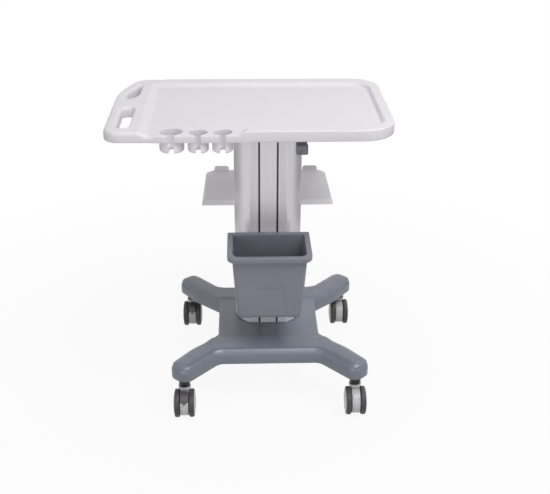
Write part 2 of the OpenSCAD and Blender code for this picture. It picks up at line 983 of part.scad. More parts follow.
module release_finger() {
    color("#5b5e63")
        at_column()
            difference() {
                union() {
                    rod_x(shaft_d + 2 * finger_wall, finger_w, 0, -shaft_y, shaft_z);
                    translate([-finger_w / 2, -shaft_y, finger_under])
                        cube([finger_w, shaft_y + valve_d / 2 + finger_past, finger_t]);
                }
                rod_x(shaft_d + 2 * pin_gap, finger_w + 2 * over, 0, -shaft_y, shaft_z);
            }
}

module release_lever() {
    paddle_top = shaft_z - paddle_drop;
    paddle_y0 = -shaft_y - lever_reach;
    paddle_y1 = paddle_y0 + paddle_t;
    paddle_corners = box_corners(
        paddle_x - paddle_w / 2, paddle_x + paddle_w / 2, paddle_y0, paddle_y1, paddle_r);
    color("#4a4b50")
        at_column() {
            plate(paddle_corners, paddle_top - paddle_h, paddle_h);
            difference() {
                union() {
                    rod_x(lever_hub_d, lever_hub_w, paddle_x, -shaft_y, shaft_z);
                    translate([paddle_x - lever_hub_w / 2, 0, 0])
                        rotate([90, 0, 90])
                            linear_extrude(lever_hub_w)
                                polygon([
                                    [paddle_y1 - over, paddle_top - arm_t],
                                    [-shaft_y, shaft_z - arm_t / 2],
                                    [-shaft_y, shaft_z + arm_t / 2],
                                    [paddle_y1 - over, paddle_top]
                                ]);
                }
                rod_x(shaft_d + 2 * pin_gap, lever_hub_w + 2 * over, paddle_x, -shaft_y, shaft_z);
            }
        }
}

// Bin

function bin_plan(half_w, y0, y1, front_r) = [
    [-half_w, y0, front_r],
    [half_w, y0, front_r],
    [half_w, y1, bin_back_r],
    [-half_w, y1, bin_back_r]
];

// Corners of the bin's wall at the height z
function bin_corners(z) =
    let (in = (bin_z - z) / bin_h)
    bin_plan(
        bin_w / 2 - bin_rim_out - bin_side_in * in,
        bin_y0 + bin_rim_out + bin_front_in * in,
        bin_wall_y1,
        bin_r);

// Rings of the bin's wall, from a foot rounded with foot_r up to top_z
function bin_rings(inset, floor_z, foot_r, top_z, steps = 3) = concat(
    [for (k = [0:steps]) let (a = 90 * k / steps, z = floor_z + foot_r * (1 - cos(a)))
        raised(rounded(bin_corners(z), inset + foot_r * (1 - sin(a))), z)],
    [raised(rounded(bin_corners(top_z), inset), top_z)]);

module bin() {
    floor_z = bin_z - bin_h;
    rim = bin_plan(bin_w / 2, bin_y0, bin_back, bin_r + bin_rim_out);
    color("#767c86")
        translate([column_x, 0, 0])
            difference() {
                union() {
                    loft(bin_rings(0, floor_z, bin_foot_r, bin_z));
                    difference() {
                        plate(rim, bin_z - bin_rim_h, bin_rim_h);
                        plate(rim, bin_z - bin_rim_h - over, bin_rim_h + over - bin_wall, inset = bin_wall);
                    }
                }
                loft(bin_rings(bin_wall, floor_z + bin_wall, bin_foot_r - bin_wall, bin_z + over));
            }
}

module bin_bracket() {
    color("#b9bac0")
        difference() {
            union() {
                translate([column_x - bracket_w / 2, column_front - bracket_t, bracket_bottom])
                    cube([bracket_w, bracket_t, bracket_top - bracket_bottom]);
                translate([column_x - bracket_w / 2, prong_y, bracket_step_z])
                    cube([bracket_w, column_front - bracket_t - prong_y, bracket_t]);
                translate([column_x - bracket_w / 2, prong_y, bracket_step_z])
                    cube([bracket_w, prong_t, prong_top - bracket_step_z]);
            }
            for (x = slot_xs)
                rod_y(slot_w + 2 * pin_gap, 3 * bracket_t,
                    column_x + x, column_front - 2 * bracket_t, bracket_bolt_z);
        }
}

module bin_bracket_bolts() {
    shank_d = slot_w - 2 * seat_gap;
    shank_l = bracket_head_t + bracket_t + slot_lip + over;
    shank_y = column_front - bracket_t - bracket_head_t;
    color("#8d8f93")
        for (x = slot_xs) {
            rod_y(bracket_head_d, bracket_head_t, column_x + x, shank_y, bracket_bolt_z);
            rod_y(shank_d, shank_l, column_x + x, shank_y, bracket_bolt_z);
            translate([column_x + x - tee_w / 2, column_front + slot_lip, bracket_bolt_z - tee_w / 2])
                cube([tee_w, tee_t, tee_w]);
        }
}

// Shelf

shelf_y1 = column_y + shelf_d;
shelf_bolt_z = shelf_z - sheet_t - shelf_bolt_drop;

function shelf_corners(out) = [
    [-shelf_w / 2 - out, column_y - out, shelf_r],
    [shelf_w / 2 + out, column_y - out, shelf_r],
    [shelf_w / 2 + out, shelf_y1 - shelf_chamfer + out, shelf_r],
    [shelf_w / 2 - shelf_chamfer, shelf_y1 + out / 2, shelf_r],
    [shelf_chamfer - shelf_w / 2, shelf_y1 + out / 2, shelf_r],
    [-shelf_w / 2 - out, shelf_y1 - shelf_chamfer + out, shelf_r]
];

tab_corners = [
    [-tab_w / 2, -sheet_t / 2, least_r],
    [tab_w / 2, -sheet_t / 2, least_r],
    [tab_w / 2, tab_h, tab_r],
    [-tab_w / 2, tab_h, tab_r]
];

module shelf_form(inset, top, bottom) {
    loft([
        raised(rounded(shelf_corners(flange_out), inset), bottom),
        raised(rounded(shelf_corners(0), inset), top)
    ]);
}

module shelf_tray() {
    slope = atan2(flange_h - flange_back_h, shelf_d);
    color("#b2afb4")
        translate([column_x, 0, 0]) {
            difference() {
                shelf_form(0, shelf_z, shelf_z - flange_h);
                translate([0, 0, -sheet_t])
                    shelf_form(sheet_t, shelf_z, shelf_z - flange_h);
                translate([-shelf_w, column_y - flange_out, shelf_z - flange_h])
                    rotate([slope, 0, 0])
                        translate([0, -shelf_w, -shelf_w])
                            cube([2 * shelf_w, 2 * shelf_w + shelf_d, shelf_w]);
                translate([0, column_y, shelf_z - 2 * flange_h])
                    linear_extrude(3 * flange_h)
                        column_outline(shelf_gap);
                for (x = [-shelf_bolt_x, shelf_bolt_x])
                    translate([x, column_rear + bracket_t + shelf_bracket_leg / 2, shelf_z - 2 * sheet_t])
                        cylinder(d = screw_d + 2 * pin_gap, h = 3 * sheet_t);
            }
            for (side = [-1, 1])
                translate([side * tab_x, shelf_y1 - tab_in, shelf_z])
                    rotate([90, 0, 0])
                        linear_extrude(sheet_t)
                            polygon(rounded(tab_corners));
        }
}

module shelf_bracket() {
    color("#8a8b90")
        translate([column_x, column_rear, shelf_z - sheet_t])
            difference() {
                union() {
                    translate([-shelf_bracket_w / 2, 0, -shelf_bracket_leg])
                        cube([shelf_bracket_w, bracket_t, shelf_bracket_leg]);
                    translate([-shelf_bracket_w / 2, 0, -bracket_t])
                        cube([shelf_bracket_w, shelf_bracket_leg + bracket_t, bracket_t]);
                }
                for (x = [-shelf_bolt_x, shelf_bolt_x]) {
                    rod_y(screw_d + 2 * pin_gap, 3 * bracket_t,
                        x, -bracket_t, shelf_bolt_z - shelf_z + sheet_t);
                    translate([x, bracket_t + shelf_bracket_leg / 2, -2 * bracket_t])
                        cylinder(d = screw_d + 2 * pin_gap, h = 3 * bracket_t);
                }
            }
}

module shelf_bolts() {
    color("#8d8f93")
        translate([column_x, column_rear, shelf_z - sheet_t])
            for (x = [-shelf_bolt_x, shelf_bolt_x]) {
                rod_y(screw_head_d, screw_head_t, x, bracket_t, shelf_bolt_z - shelf_z + sheet_t);
                rod_y(screw_d, column_wall + bracket_t + screw_head_t,
                    x, -column_wall, shelf_bolt_z - shelf_z + sheet_t);
                translate([x, bracket_t + shelf_bracket_leg / 2, -bracket_t - screw_head_t])
                    cylinder(d = screw_head_d, h = screw_head_t);
                translate([x, bracket_t + shelf_bracket_leg / 2, -bracket_t - screw_head_t])
                    cylinder(d = screw_d, h = screw_head_t + bracket_t + sheet_t);
            }
}

// Base

stem = [stem_x, stem_y];
waist_corner = meet([waist_w / 2, 0], [0, 1], stem + leg_side * leg_w / 2, leg_dir);
beam_corner = meet([0, beam_d / 2], [1, 0], stem - leg_side * leg_w / 2, leg_dir);
tip_right = stem + leg_side * leg_w / 2 + leg_dir * leg_end;
tip_left = stem - leg_side * leg_w / 2 + leg_dir * leg_end;
leg_bulge_r = 200;
leg_middle = (waist_corner + tip_right) / 2 + leg_side * leg_bulge;

function base_quarter(sx, sy) = [
    [sx * waist_corner[0], sy * waist_corner[1], waist_r],
    [sx * leg_middle[0], sy * leg_middle[1], leg_bulge_r],
    [sx * tip_right[0], sy * tip_right[1], leg_tip_r],
    [sx * tip_left[0], sy * tip_left[1], leg_tip_r],
    [sx * beam_corner[0], sy * beam_corner[1], beam_r]
];

base_corners = concat(
    base_quarter(1, 1),
    reversed(base_quarter(-1, 1)),
    base_quarter(-1, -1),
    reversed(base_quarter(1, -1)));

module stem_places() {
    for (c = casters)
        translate([c[0] * stem_x, c[1] * stem_y, 0])
            children();
}

// Places of the screws along the frame's arms
module base_screw_places() {
    for (c = casters)
        translate([c[0] * stem_x, c[1] * stem_y, 0] * (1 - base_screw_back / norm(stem)))
            children();
}

// The rings of the shell run down its inside, across its lower edge and up its outside
module base_cover() {
    inner = rounded(base_corners, base_wall);
    outer = rounded(base_corners);
    color("#767c86")
        at_base()
            difference() {
                loft(concat(
                    [raised(inner, roof_z), raised(inner, base_z), raised(outer, base_z)],
                    round_over(base_corners, base_top - base_edge_r, base_edge_r)));
                translate([0, column_back, 0])
                    screw_places()
                        translate([0, 0, roof_z - over])
                            cylinder(d = screw_bore, h = base_roof + 2 * over);
            }
}

module base_frame() {
    start = norm([frame_w, frame_d]) / 2 - frame_lap;
    arm_l = norm(stem) + arm_past - start;
    arm_h = frame_top + frame_sink - frame_z;
    color("#3a3d42")
        at_base()
            difference() {
                union() {
                    translate([-frame_w / 2, -frame_d / 2, frame_top])
                        cube([frame_w, frame_d, frame_plate_t]);
                    for (c = casters)
                        rotate([0, 0, atan2(c[1] * stem_y, c[0] * stem_x)])
                            translate([start, -arm_w / 2, frame_z])
                                difference() {
                                    cube([arm_l, arm_w, arm_h]);
                                    translate([-over, arm_wall, arm_wall])
                                        cube([arm_l + over - arm_wall, arm_w - 2 * arm_wall,
                                            arm_h - 2 * arm_wall]);
                                }
                    stem_places()
                        translate([0, 0, frame_z + arm_wall / 2])
                            cylinder(d = stem_boss_d, h = arm_h - arm_wall);
                }
                stem_places()
                    translate([0, 0, frame_z - over])
                        cylinder(d = stem_d + 2 * pin_gap, h = arm_h + 2 * over);
                translate([0, column_back, 0])
                    screw_places()
                        translate([0, 0, frame_top - over])
                            cylinder(d = screw_bore, h = frame_plate_t + 2 * over);
                base_screw_places()
                    translate([0, 0, frame_z - over])
                        cylinder(d = screw_d + 2 * pin_gap, h = arm_wall + 2 * over);
            }
}

module base_underplate() {
    color("#55585e")
        at_base()
            difference() {
                plate(base_corners, base_z, underplate_t, inset = base_wall + seat_gap);
                stem_places()
                    translate([0, 0, base_z - over])
                        cylinder(d = stem_d + 2 * pin_gap, h = underplate_t + 2 * over);
                base_screw_places()
                    translate([0, 0, base_z - over])
                        cylinder(d = screw_d + 2 * pin_gap, h = underplate_t + 2 * over);
            }
}

module base_screws() {
    color("#9a9ca0")
        at_base()
            base_screw_places() {
                translate([0, 0, base_z - screw_head_t])
                    cylinder(d = screw_head_d, h = screw_head_t);
                translate([0, 0, base_z - screw_head_t])
                    cylinder(d = screw_d, h = screw_head_t + underplate_t + arm_wall);
            }
}

// Casters

module caster_stems() {
    color("#8d8f93")
        at_base()
            stem_places()
                translate([0, 0, stem_bottom])
                    cylinder(d = stem_d, h = frame_top - stem_bottom);
}

module caster_collars() {
    color("#232427")
        at_base()
            stem_places()
                difference() {
                    translate([0, 0, neck_z + glide_gap])
                        cylinder(d = caster_collar_d, h = base_z - neck_z - glide_gap);
                    translate([0, 0, neck_z])
                        cylinder(d = stem_d + 2 * pin_gap, h = base_z);
                }
}

// Frame of one caster, with the stem on the Z axis
module at_caster(c) {
    at_base()
        translate([c[0] * stem_x, c[1] * stem_y, 0])
            children();
}

module at_axle() {
    translate([0, -caster_trail, wheel_r]) children();
}

module caster_housing(c) {
    neck_bottom = wheel_d + neck_lift;
    color("#c8c8cc")
        at_caster(c)
            difference() {
                union() {
                    at_axle()
                        rod_x(2 * housing_r, housing_w);
                    translate([-housing_w / 2, -neck_d / 2, wheel_r])
                        cube([housing_w, neck_d, neck_bottom - wheel_r]);
                    translate([0, 0, neck_bottom])
                        cylinder(d = neck_d, h = neck_z - neck_bottom);
                }
                translate([0, 0, stem_bottom - over])
                    cylinder(d = stem_d + 2 * pin_gap, h = neck_z);
                at_axle() {
                    rod_x(axle_d + 2 * pin_gap, housing_w + 2 * over);
                    if (c[2]) {
                        slot = pedal_web_w + 2 * glide_gap;
                        rod_x(2 * (pedal_hub_r + glide_gap), slot);
                        ring_x(0, wheel_r, slot,
                            pedal_a0 - pedal_turn - pedal_slot_under, pedal_a1 + pedal_slot_over);
                    }
                }
            }
}

module caster_axle(c) {
    color("#8d8f93")
        at_caster(c)
            at_axle()
                rod_x(axle_d, axle_l);
}

module brake_pedal(c) {
    r = housing_r + pedal_gap;
    color("#4b494c")
        at_caster(c)
            at_axle()
                difference() {
                    union() {
                        ring_x(r, r + pedal_t, housing_w, pedal_a0, pedal_a1);
                        ring_x(pedal_hub_r - over, r + over, pedal_web_w,
                            pedal_a0 + pedal_web_a, pedal_a1 - pedal_web_a);
                        rod_x(2 * pedal_hub_r, pedal_web_w);
                    }
                    rod_x(axle_d + 2 * pin_gap, housing_w);
                }
}

// Place of one wheel: side -1 is the left wheel of the pair, and its local +Z points outwards
module at_wheel(c, side) {
    at_caster(c)
        at_axle()
            translate([side * tyre_pitch / 2, 0, 0])
                rotate([0, side * 90, 0])
                    children();
}

module tyre(c, side) {
    inner_r = wheel_r - tyre_t;
    color("#4a4748")
        at_wheel(c, side)
            rotate_extrude()
                union() {
                    translate([inner_r, -tyre_w / 2])
                        square([tyre_t - tyre_r, tyre_w]);
                    translate([inner_r, tyre_r - tyre_w / 2])
                        square([tyre_t, tyre_w - 2 * tyre_r]);
                    for (end = [-1, 1])
                        translate([wheel_r - tyre_r, end * (tyre_w / 2 - tyre_r)])
                            circle(r = tyre_r);
                }
}

module hub(c, side) {
    rim_r = wheel_r - tyre_t - pin_gap;
    bore_r = axle_d / 2 + pin_gap;
    inner = housing_w / 2 + 2 * glide_gap - tyre_pitch / 2;
    outer = tyre_w / 2 + hub_out;
    color("#cdcdd1")
        at_wheel(c, side)
            rotate_extrude()
                polygon([
                    [bore_r, inner],
                    [rim_r - hub_boss_in, inner],
                    [rim_r, hub_rim_in - tyre_w / 2],
                    [rim_r, tyre_w / 2 - hub_rim_out],
                    [rim_r - hub_shoulder, outer - hub_shoulder],
                    [rim_r - hub_dome_in, outer - hub_dome_t],
                    [bore_r, outer]
                ]);
}

tabletop();
table_underpan();
table_mount_plate();
table_screws();
probe_cup(0);  // probe_cup_wide
probe_cup(1);  // probe_cup_middle
probe_cup(2);  // probe_cup_right
inner_mast();
mast_glide();
mast_crossbar();
gas_spring_rod();
rod_nut();
valve_pin();
release_shaft();
release_finger();
release_lever();
shaft_bushes();
column();
column_collar();
gas_spring_cylinder();
column_bolts();
bin();
bin_bracket();
bin_bracket_bolts();
shelf_tray();
shelf_bracket();
shelf_bolts();
base_cover();
base_frame();
base_underplate();
base_screws();
caster_stems();
caster_collars();
caster_housing(front_left);  // front_left_housing
caster_axle(front_left);  // front_left_axle
brake_pedal(front_left);  // front_left_pedal
tyre(front_left, -1);  // front_left_outer_tyre
hub(front_left, -1);  // front_left_outer_hub
tyre(front_left, 1);  // front_left_inner_tyre
hub(front_left, 1);  // front_left_inner_hub
caster_housing(front_right);  // front_right_housing
caster_axle(front_right);  // front_right_axle
tyre(front_right, 1);  // front_right_outer_tyre
hub(front_right, 1);  // front_right_outer_hub
tyre(front_right, -1);  // front_right_inner_tyre
hub(front_right, -1);  // front_right_inner_hub
caster_housing(rear_left);  // rear_left_housing
caster_axle(rear_left);  // rear_left_axle
brake_pedal(rear_left);  // rear_left_pedal
tyre(rear_left, -1);  // rear_left_outer_tyre
hub(rear_left, -1);  // rear_left_outer_hub
tyre(rear_left, 1);  // rear_left_inner_tyre
hub(rear_left, 1);  // rear_left_inner_hub
caster_housing(rear_right);  // rear_right_housing
caster_axle(rear_right);  // rear_right_axle
tyre(rear_right, 1);  // rear_right_outer_tyre
hub(rear_right, 1);  // rear_right_outer_hub
tyre(rear_right, -1);  // rear_right_inner_tyre
hub(rear_right, -1);  // rear_right_inner_hub
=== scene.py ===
# %% [markdown]
# # A trolley that carries an ultrasound scanner
#
# A white moulded tabletop stands on an aluminium column, with a slate-grey bin, a folded shelf and an
# X-shaped base on four twin-wheel casters. The solids of the working model come in as a frame, in metres, and
# every part of it already stands in its place. This lesson leaves that frame where it is, and gives each part
# its form, its finish and its light.

# %% Load the frame
import json
import math

import bmesh
import bpy
import numpy as np
from mathutils import Matrix, Vector
from mathutils.geometry import delaunay_2d_cdt


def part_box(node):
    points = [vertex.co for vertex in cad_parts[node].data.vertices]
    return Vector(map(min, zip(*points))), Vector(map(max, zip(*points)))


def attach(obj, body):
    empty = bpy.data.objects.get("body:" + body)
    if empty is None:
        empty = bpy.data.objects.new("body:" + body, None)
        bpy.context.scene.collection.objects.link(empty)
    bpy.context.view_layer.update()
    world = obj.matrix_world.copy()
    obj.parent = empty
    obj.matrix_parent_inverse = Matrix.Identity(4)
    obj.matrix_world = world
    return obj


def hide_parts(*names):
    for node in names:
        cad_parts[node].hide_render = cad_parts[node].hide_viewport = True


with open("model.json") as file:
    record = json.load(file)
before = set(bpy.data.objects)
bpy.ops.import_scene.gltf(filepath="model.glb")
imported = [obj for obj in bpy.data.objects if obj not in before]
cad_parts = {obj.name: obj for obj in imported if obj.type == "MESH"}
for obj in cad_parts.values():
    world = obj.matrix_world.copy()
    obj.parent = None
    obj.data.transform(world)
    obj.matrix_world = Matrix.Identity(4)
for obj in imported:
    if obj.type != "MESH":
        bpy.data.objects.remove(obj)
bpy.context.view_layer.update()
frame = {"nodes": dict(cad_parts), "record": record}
scene = bpy.context.scene
MM = 0.001

# %% [markdown]
# ## The camera
#
# The photograph was taken from a little above the table, about two and a half metres away. A camera can be
# turned by eye until the edges meet, but here its place, tilt and focal length were worked out from the known
# sizes of the trolley, so they are written down as numbers. Depth of field stays off.

# %% Camera at the photograph's place
IMAGE_W = 550
FOCAL_PIXELS = 931.555
SENSOR_W = 36.0
CAMERA_AT = np.array([-18.56, -2277.32, 1487.37]) * MM
PITCH, YAW, ROLL = 0.45482, 0.03670, -0.00586

forward = np.array([math.sin(YAW) * math.cos(PITCH), math.cos(YAW) * math.cos(PITCH), -math.sin(PITCH)])
level = np.array([math.cos(YAW), -math.sin(YAW), 0.0])
down = np.cross(forward, level)
right = math.cos(ROLL) * level + math.sin(ROLL) * down
below = math.cos(ROLL) * down - math.sin(ROLL) * level

camera = bpy.data.objects.new("camera", bpy.data.cameras.new("camera"))
scene.collection.objects.link(camera)
scene.camera = camera
camera.data.sensor_fit = "HORIZONTAL"
camera.data.sensor_width = SENSOR_W
camera.data.lens = SENSOR_W * FOCAL_PIXELS / IMAGE_W
turned = np.eye(4)
turned[:3] = np.column_stack([right, -below, -forward, CAMERA_AT])
camera.matrix_world = Matrix(turned.tolist())
print("camera lens", round(camera.data.lens, 2), "mm")

# %% [markdown]
# ## The studio
#
# The trolley stands on a pale floor that runs out into white. A white room would light it from all sides
# alike, so the world is white only to the camera and to reflections, and lights the surfaces more softly. A
# large lamp in front and to the right gives the faces their shading, a low one on the left reaches under the
# table, and one above gives the edges a soft gleam. The floor glows towards the camera, a little less under
# the trolley than far from it, so that it runs out into white and still shows the shadow. Two dark cards lie
# on the floor, one to the back left and one to the back right. Only reflections show them, as the darker
# bands on the round sides of the column.

# %% Node helpers
WHITE = (1.0, 1.0, 1.0, 1.0)


def add(tree, kind, inputs=None, **settings):
    """One shader node. Settings are its properties; inputs map a socket to a value or to a node's output."""
    made = tree.nodes.new("ShaderNode" + kind)
    for key, value in settings.items():
        setattr(made, key, value)
    for key, value in (inputs or {}).items():
        if isinstance(value, bpy.types.NodeSocket):
            tree.links.new(value, made.inputs[key])
        else:
            made.inputs[key].default_value = value
    return made


def calc(tree, operation, *values):
    """The result of one Math node on one to three values."""
    return add(tree, "Math", dict(enumerate(values)), operation=operation).outputs[0]


def stretch(tree, value, low, high, to_low=0.0, to_high=1.0):
    """The value mapped from low..high to to_low..to_high, held inside that range."""
    return add(tree, "MapRange", {0: value, 1: low, 2: high, 3: to_low, 4: to_high}).outputs[0]


def seen_directly(tree):
    """1 for rays from the camera, in reflections and through glass, and 0 for the light on a surface."""
    rays = add(tree, "LightPath").outputs
    mirrored = calc(tree, "MAXIMUM", rays["Is Camera Ray"], rays["Is Glossy Ray"])
    return calc(tree, "MAXIMUM", mirrored, rays["Is Transmission Ray"])


# %% Stage helpers
def stage_finish(name):
    """A material with an empty tree, for the floor and the cards."""
    made = bpy.data.materials.new(name)
    made.use_nodes = True
    made.node_tree.nodes.clear()
    return made, made.node_tree


def show_mixed(tree, share, first, second):
    """The surface of a material: the first shader, with a share of the second over it."""
    mixed = add(tree, "MixShader", {0: share, 1: first.outputs[0], 2: second.outputs[0]})
    add(tree, "OutputMaterial", {"Surface": mixed.outputs[0]})


def new_object(name, points, faces, material):
    """A mesh object at the origin, from points in metres and faces."""
    mesh = bpy.data.meshes.new(name)
    mesh.from_pydata(points.tolist(), [], faces)
    mesh.materials.append(material)
    made = bpy.data.objects.new(name, mesh)
    scene.collection.objects.link(made)
    return made


# %% World and floor
AMBIENT = 0.39
FLOOR_SIZE = 14.0
GLOW_NEAR, GLOW_FAR = 0.92, 1.0
FADE_FROM, FADE_TO = 0.45, 1.5
FLOOR_COLOUR = (0.65, 0.65, 0.65, 1.0)

scene.view_settings.view_transform = "Standard"
scene.world = bpy.data.worlds.new("studio")
scene.world.use_nodes = True
world = scene.world.node_tree
world.nodes.clear()
level_of_light = stretch(world, seen_directly(world), 0.0, 1.0, AMBIENT, 1.0)
background = add(world, "Background", {"Color": WHITE, "Strength": level_of_light})
add(world, "OutputWorld", {"Surface": background.outputs[0]})

floor_paint, tree = stage_finish("floor")
away = add(tree, "VectorMath", {0: add(tree, "TexCoord").outputs["Object"]}, operation="LENGTH")
faded = stretch(tree, away.outputs["Value"], FADE_FROM, FADE_TO, GLOW_NEAR, GLOW_FAR)
matt = add(tree, "BsdfDiffuse", {"Color": FLOOR_COLOUR})
glow = add(tree, "Emission", {"Color": WHITE, "Strength": 1.0})
show_mixed(tree, calc(tree, "MULTIPLY", seen_directly(tree), faded), matt, glow)
floor_corners = np.array([(-1, -1, 0), (1, -1, 0), (1, 1, 0), (-1, 1, 0)]) * FLOOR_SIZE / 2
floor = new_object("floor", floor_corners, [(0, 1, 2, 3)], floor_paint)
print("floor", FLOOR_SIZE, "m wide")

# %% Lamps
LAMPS = {
    "key": ((1.35, -1.5, 3.3), (2.8, 1.2), 71.0),
    "fill": ((-1.3, -2.8, 1.2), (1.6, 1.0), 14.0),
    "top": ((0.9, 0.2, 3.4), (2.2, 2.2), 8.0),
}
AIM = Vector((0.04, 0.0, 0.45))

for name, (at, size, power) in LAMPS.items():
    lamp = bpy.data.lights.new(name, "AREA")
    lamp.shape = "RECTANGLE"
    lamp.size, lamp.size_y = size
    lamp.energy = power
    holder = bpy.data.objects.new(name, lamp)
    holder.location = at
    holder.rotation_euler = (AIM - Vector(at)).to_track_quat("-Z", "Y").to_euler()
    scene.collection.objects.link(holder)
print(len(LAMPS), "lamps")

# %% Cards
CARDS = {"left": (98.0, 172.0), "right": (8.0, 82.0)}
CARD_NEAR, CARD_FAR, CARD_RISE, CARD_POINTS = 1.0, 2.4, 0.002, 17
CARD_TONE = (0.10, 0.09, 0.08, 1.0)

card_felt, tree = stage_finish("card")
in_mirror = add(tree, "LightPath").outputs["Is Glossy Ray"]
felt = add(tree, "Emission", {"Color": CARD_TONE, "Strength": 1.0})
show_mixed(tree, in_mirror, add(tree, "BsdfTransparent"), felt)
for name, (start, end) in CARDS.items():
    sweep = np.radians(np.linspace(start, end, CARD_POINTS))
    arc = np.column_stack([np.cos(sweep), np.sin(sweep), np.zeros(CARD_POINTS)])
    around = np.vstack([arc * CARD_NEAR, arc[::-1] * CARD_FAR]) + [0, 0, CARD_RISE]
    card = new_object(f"{name}_card", around, [list(range(len(around)))], card_felt)
print(len(CARDS), "cards, seen in reflections only")

# %% [markdown]
# ## What the finishes share
#
# Moulded plastic, powder coat and rubber all have a fine grain and a slight unevenness of tone, so that comes
# first, as one group of nodes with its own settings in each finish. Dust that settles on faces that look up,
# short scuffs, the streaks of drawn metal and the painted shade deep in the column's slots are groups as
# well. They read Object coordinates, so they stay on the part when it moves.

# %% Group helpers
SOCKET_OF_SIZE = {1: "Float", 3: "Vector", 4: "Color"}


def group(name, inputs, **outputs):
    """An empty node group. Inputs map a label to its value, and outputs a label to a kind of socket. Returns
    its tree, its inputs seen from inside and its outputs seen from inside."""
    made = bpy.data.node_groups.new(name, "ShaderNodeTree")
    for label, value in inputs.items():
        kind = "NodeSocket" + SOCKET_OF_SIZE[np.size(value)]
        made.interface.new_socket(label, in_out="INPUT", socket_type=kind).default_value = value
    for label, kind in outputs.items():
        made.interface.new_socket(label, in_out="OUTPUT", socket_type="NodeSocket" + kind)
    return made, made.nodes.new("NodeGroupInput").outputs, made.nodes.new("NodeGroupOutput").inputs


def noise(tree, where, scale, detail, roughness=0.5):
    """Cloudy values between 0 and 1."""
    inputs = {"Vector": where, "Scale": scale, "Detail": detail, "Roughness": roughness}
    return add(tree, "TexNoise", inputs).outputs[0]


def mix_colour(tree, share, first, second):
    """The first colour, with a share of the second."""
    return add(tree, "Mix", {0: share, 6: first, 7: second}, data_type="RGBA").outputs[2]


# %% Grain
NOISE_RANGE, SWING_RANGE = (0.3, 0.7), (0.25, 0.75)
SPECKS = 0.5

grain, given, out = group(
    "moulded grain",
    {"Tint": (0.5, 0.5, 0.5, 1.0), "Shade": (0.4, 0.4, 0.4, 1.0), "Grain Scale": 900.0, "Mottle Scale": 7.0,
     "Roughness": 0.4, "Roughness Spread": 0.05},
    Colour="Color", Roughness="Float", Height="Float")
here = add(grain, "TexCoord").outputs["Object"]
fine = noise(grain, here, given["Grain Scale"], 3.0)
broad = noise(grain, here, given["Mottle Scale"], 5.0, 0.55)
speckled = calc(grain, "MULTIPLY_ADD", stretch(grain, fine, *NOISE_RANGE), SPECKS, 1 - SPECKS)
unevenness = calc(grain, "MULTIPLY", stretch(grain, broad, *NOISE_RANGE), speckled)
swing = stretch(grain, broad, *SWING_RANGE, -1.0, 1.0)
rough = calc(grain, "MULTIPLY_ADD", swing, given["Roughness Spread"], given["Roughness"])
grain.links.new(mix_colour(grain, unevenness, given["Tint"], given["Shade"]), out["Colour"])
grain.links.new(rough, out["Roughness"])
grain.links.new(fine, out["Height"])
print("group", grain.name)

# %% Dust and scuffs
FACING_UP, DUST_RANGE = (0.45, 0.95), (0.4, 0.75)
SCUFF_TURN, SCUFF_STRETCH, SCUFF_RANGE = (0.4, 0.3, 0.7), (0.25, 3.0, 1.2), (0.6, 0.72)
PATCH_SCALE, PATCH_RANGE = 9.0, (0.5, 0.65)

dust, given, out = group("settled dust", {"Amount": 0.2, "Scale": 30.0}, Mask="Float")
place = add(dust, "TexCoord").outputs
upward = add(dust, "SeparateXYZ", {0: place["Normal"]}).outputs["Z"]
drift = stretch(dust, noise(dust, place["Object"], given["Scale"], 6.0, 0.65), *DUST_RANGE)
lying = calc(dust, "MULTIPLY", stretch(dust, upward, *FACING_UP), drift)
dust.links.new(calc(dust, "MULTIPLY", lying, given["Amount"]), out["Mask"])

scuff, given, out = group("short scuffs", {"Amount": 0.3, "Scale": 40.0}, Mask="Float")
here = add(scuff, "TexCoord").outputs["Object"]
slanted = add(scuff, "Mapping", {"Vector": here, "Rotation": SCUFF_TURN, "Scale": SCUFF_STRETCH}).outputs[0]
thin = stretch(scuff, noise(scuff, slanted, given["Scale"], 4.0), *SCUFF_RANGE)
in_patches = stretch(scuff, noise(scuff, here, PATCH_SCALE, 2.0), *PATCH_RANGE)
worn = calc(scuff, "MULTIPLY", thin, in_patches)
scuff.links.new(calc(scuff, "MULTIPLY", worn, given["Amount"]), out["Mask"])
print("groups", dust.name, scuff.name)

# %% Streaks and slots
CLOUD_SCALE = 5.0

streak, given, out = group("drawn streaks", {"Density": (900.0, 900.0, 4.0)}, Streak="Float", Cloud="Float")
here = add(streak, "TexCoord").outputs["Object"]
drawn = add(streak, "VectorMath", {0: here, 1: given["Density"]}, operation="MULTIPLY").outputs[0]
streak.links.new(stretch(streak, noise(streak, drawn, 1.0, 4.0), *NOISE_RANGE), out["Streak"])
streak.links.new(stretch(streak, noise(streak, here, CLOUD_SCALE, 4.0), *NOISE_RANGE), out["Cloud"])

# Painted shade: this mask marks the deep insides of the column's slots, where little light reaches, so that a
# dark tone can be painted there.
slots, given, out = group("shade in slots", {"Middle": 0.046, "Half Pitch": 0.024, "Half Width": 0.004,
                                             "Front": -0.0228, "Back": -0.008}, Mask="Float")
axes = add(slots, "SeparateXYZ", {0: add(slots, "TexCoord").outputs["Object"]}).outputs
aside = calc(slots, "ABSOLUTE", calc(slots, "SUBTRACT", axes["X"], given["Middle"]))
near = calc(slots, "COMPARE", aside, given["Half Pitch"], given["Half Width"])
behind = calc(slots, "GREATER_THAN", axes["Y"], given["Front"])
deep = calc(slots, "MULTIPLY", behind, calc(slots, "LESS_THAN", axes["Y"], given["Back"]))
slots.links.new(calc(slots, "MULTIPLY", near, deep), out["Mask"])
print("groups", streak.name, slots.name)

# %% [markdown]
# ## The plastics, paints and rubber
#
# Every finish is a Principled shader with a pattern behind it. One flat colour would look like a drawing, and
# a picture of plastic would have to be unwrapped onto every part, so the pattern is worked out in space.
# Colours are written as they look in plain light, from 0 to 255, and turned into the linear values that
# Blender works with. What is the same all over a part, such as how metallic it is, is set on the shader's own
# socket.

# %% Finish helpers
materials = {}


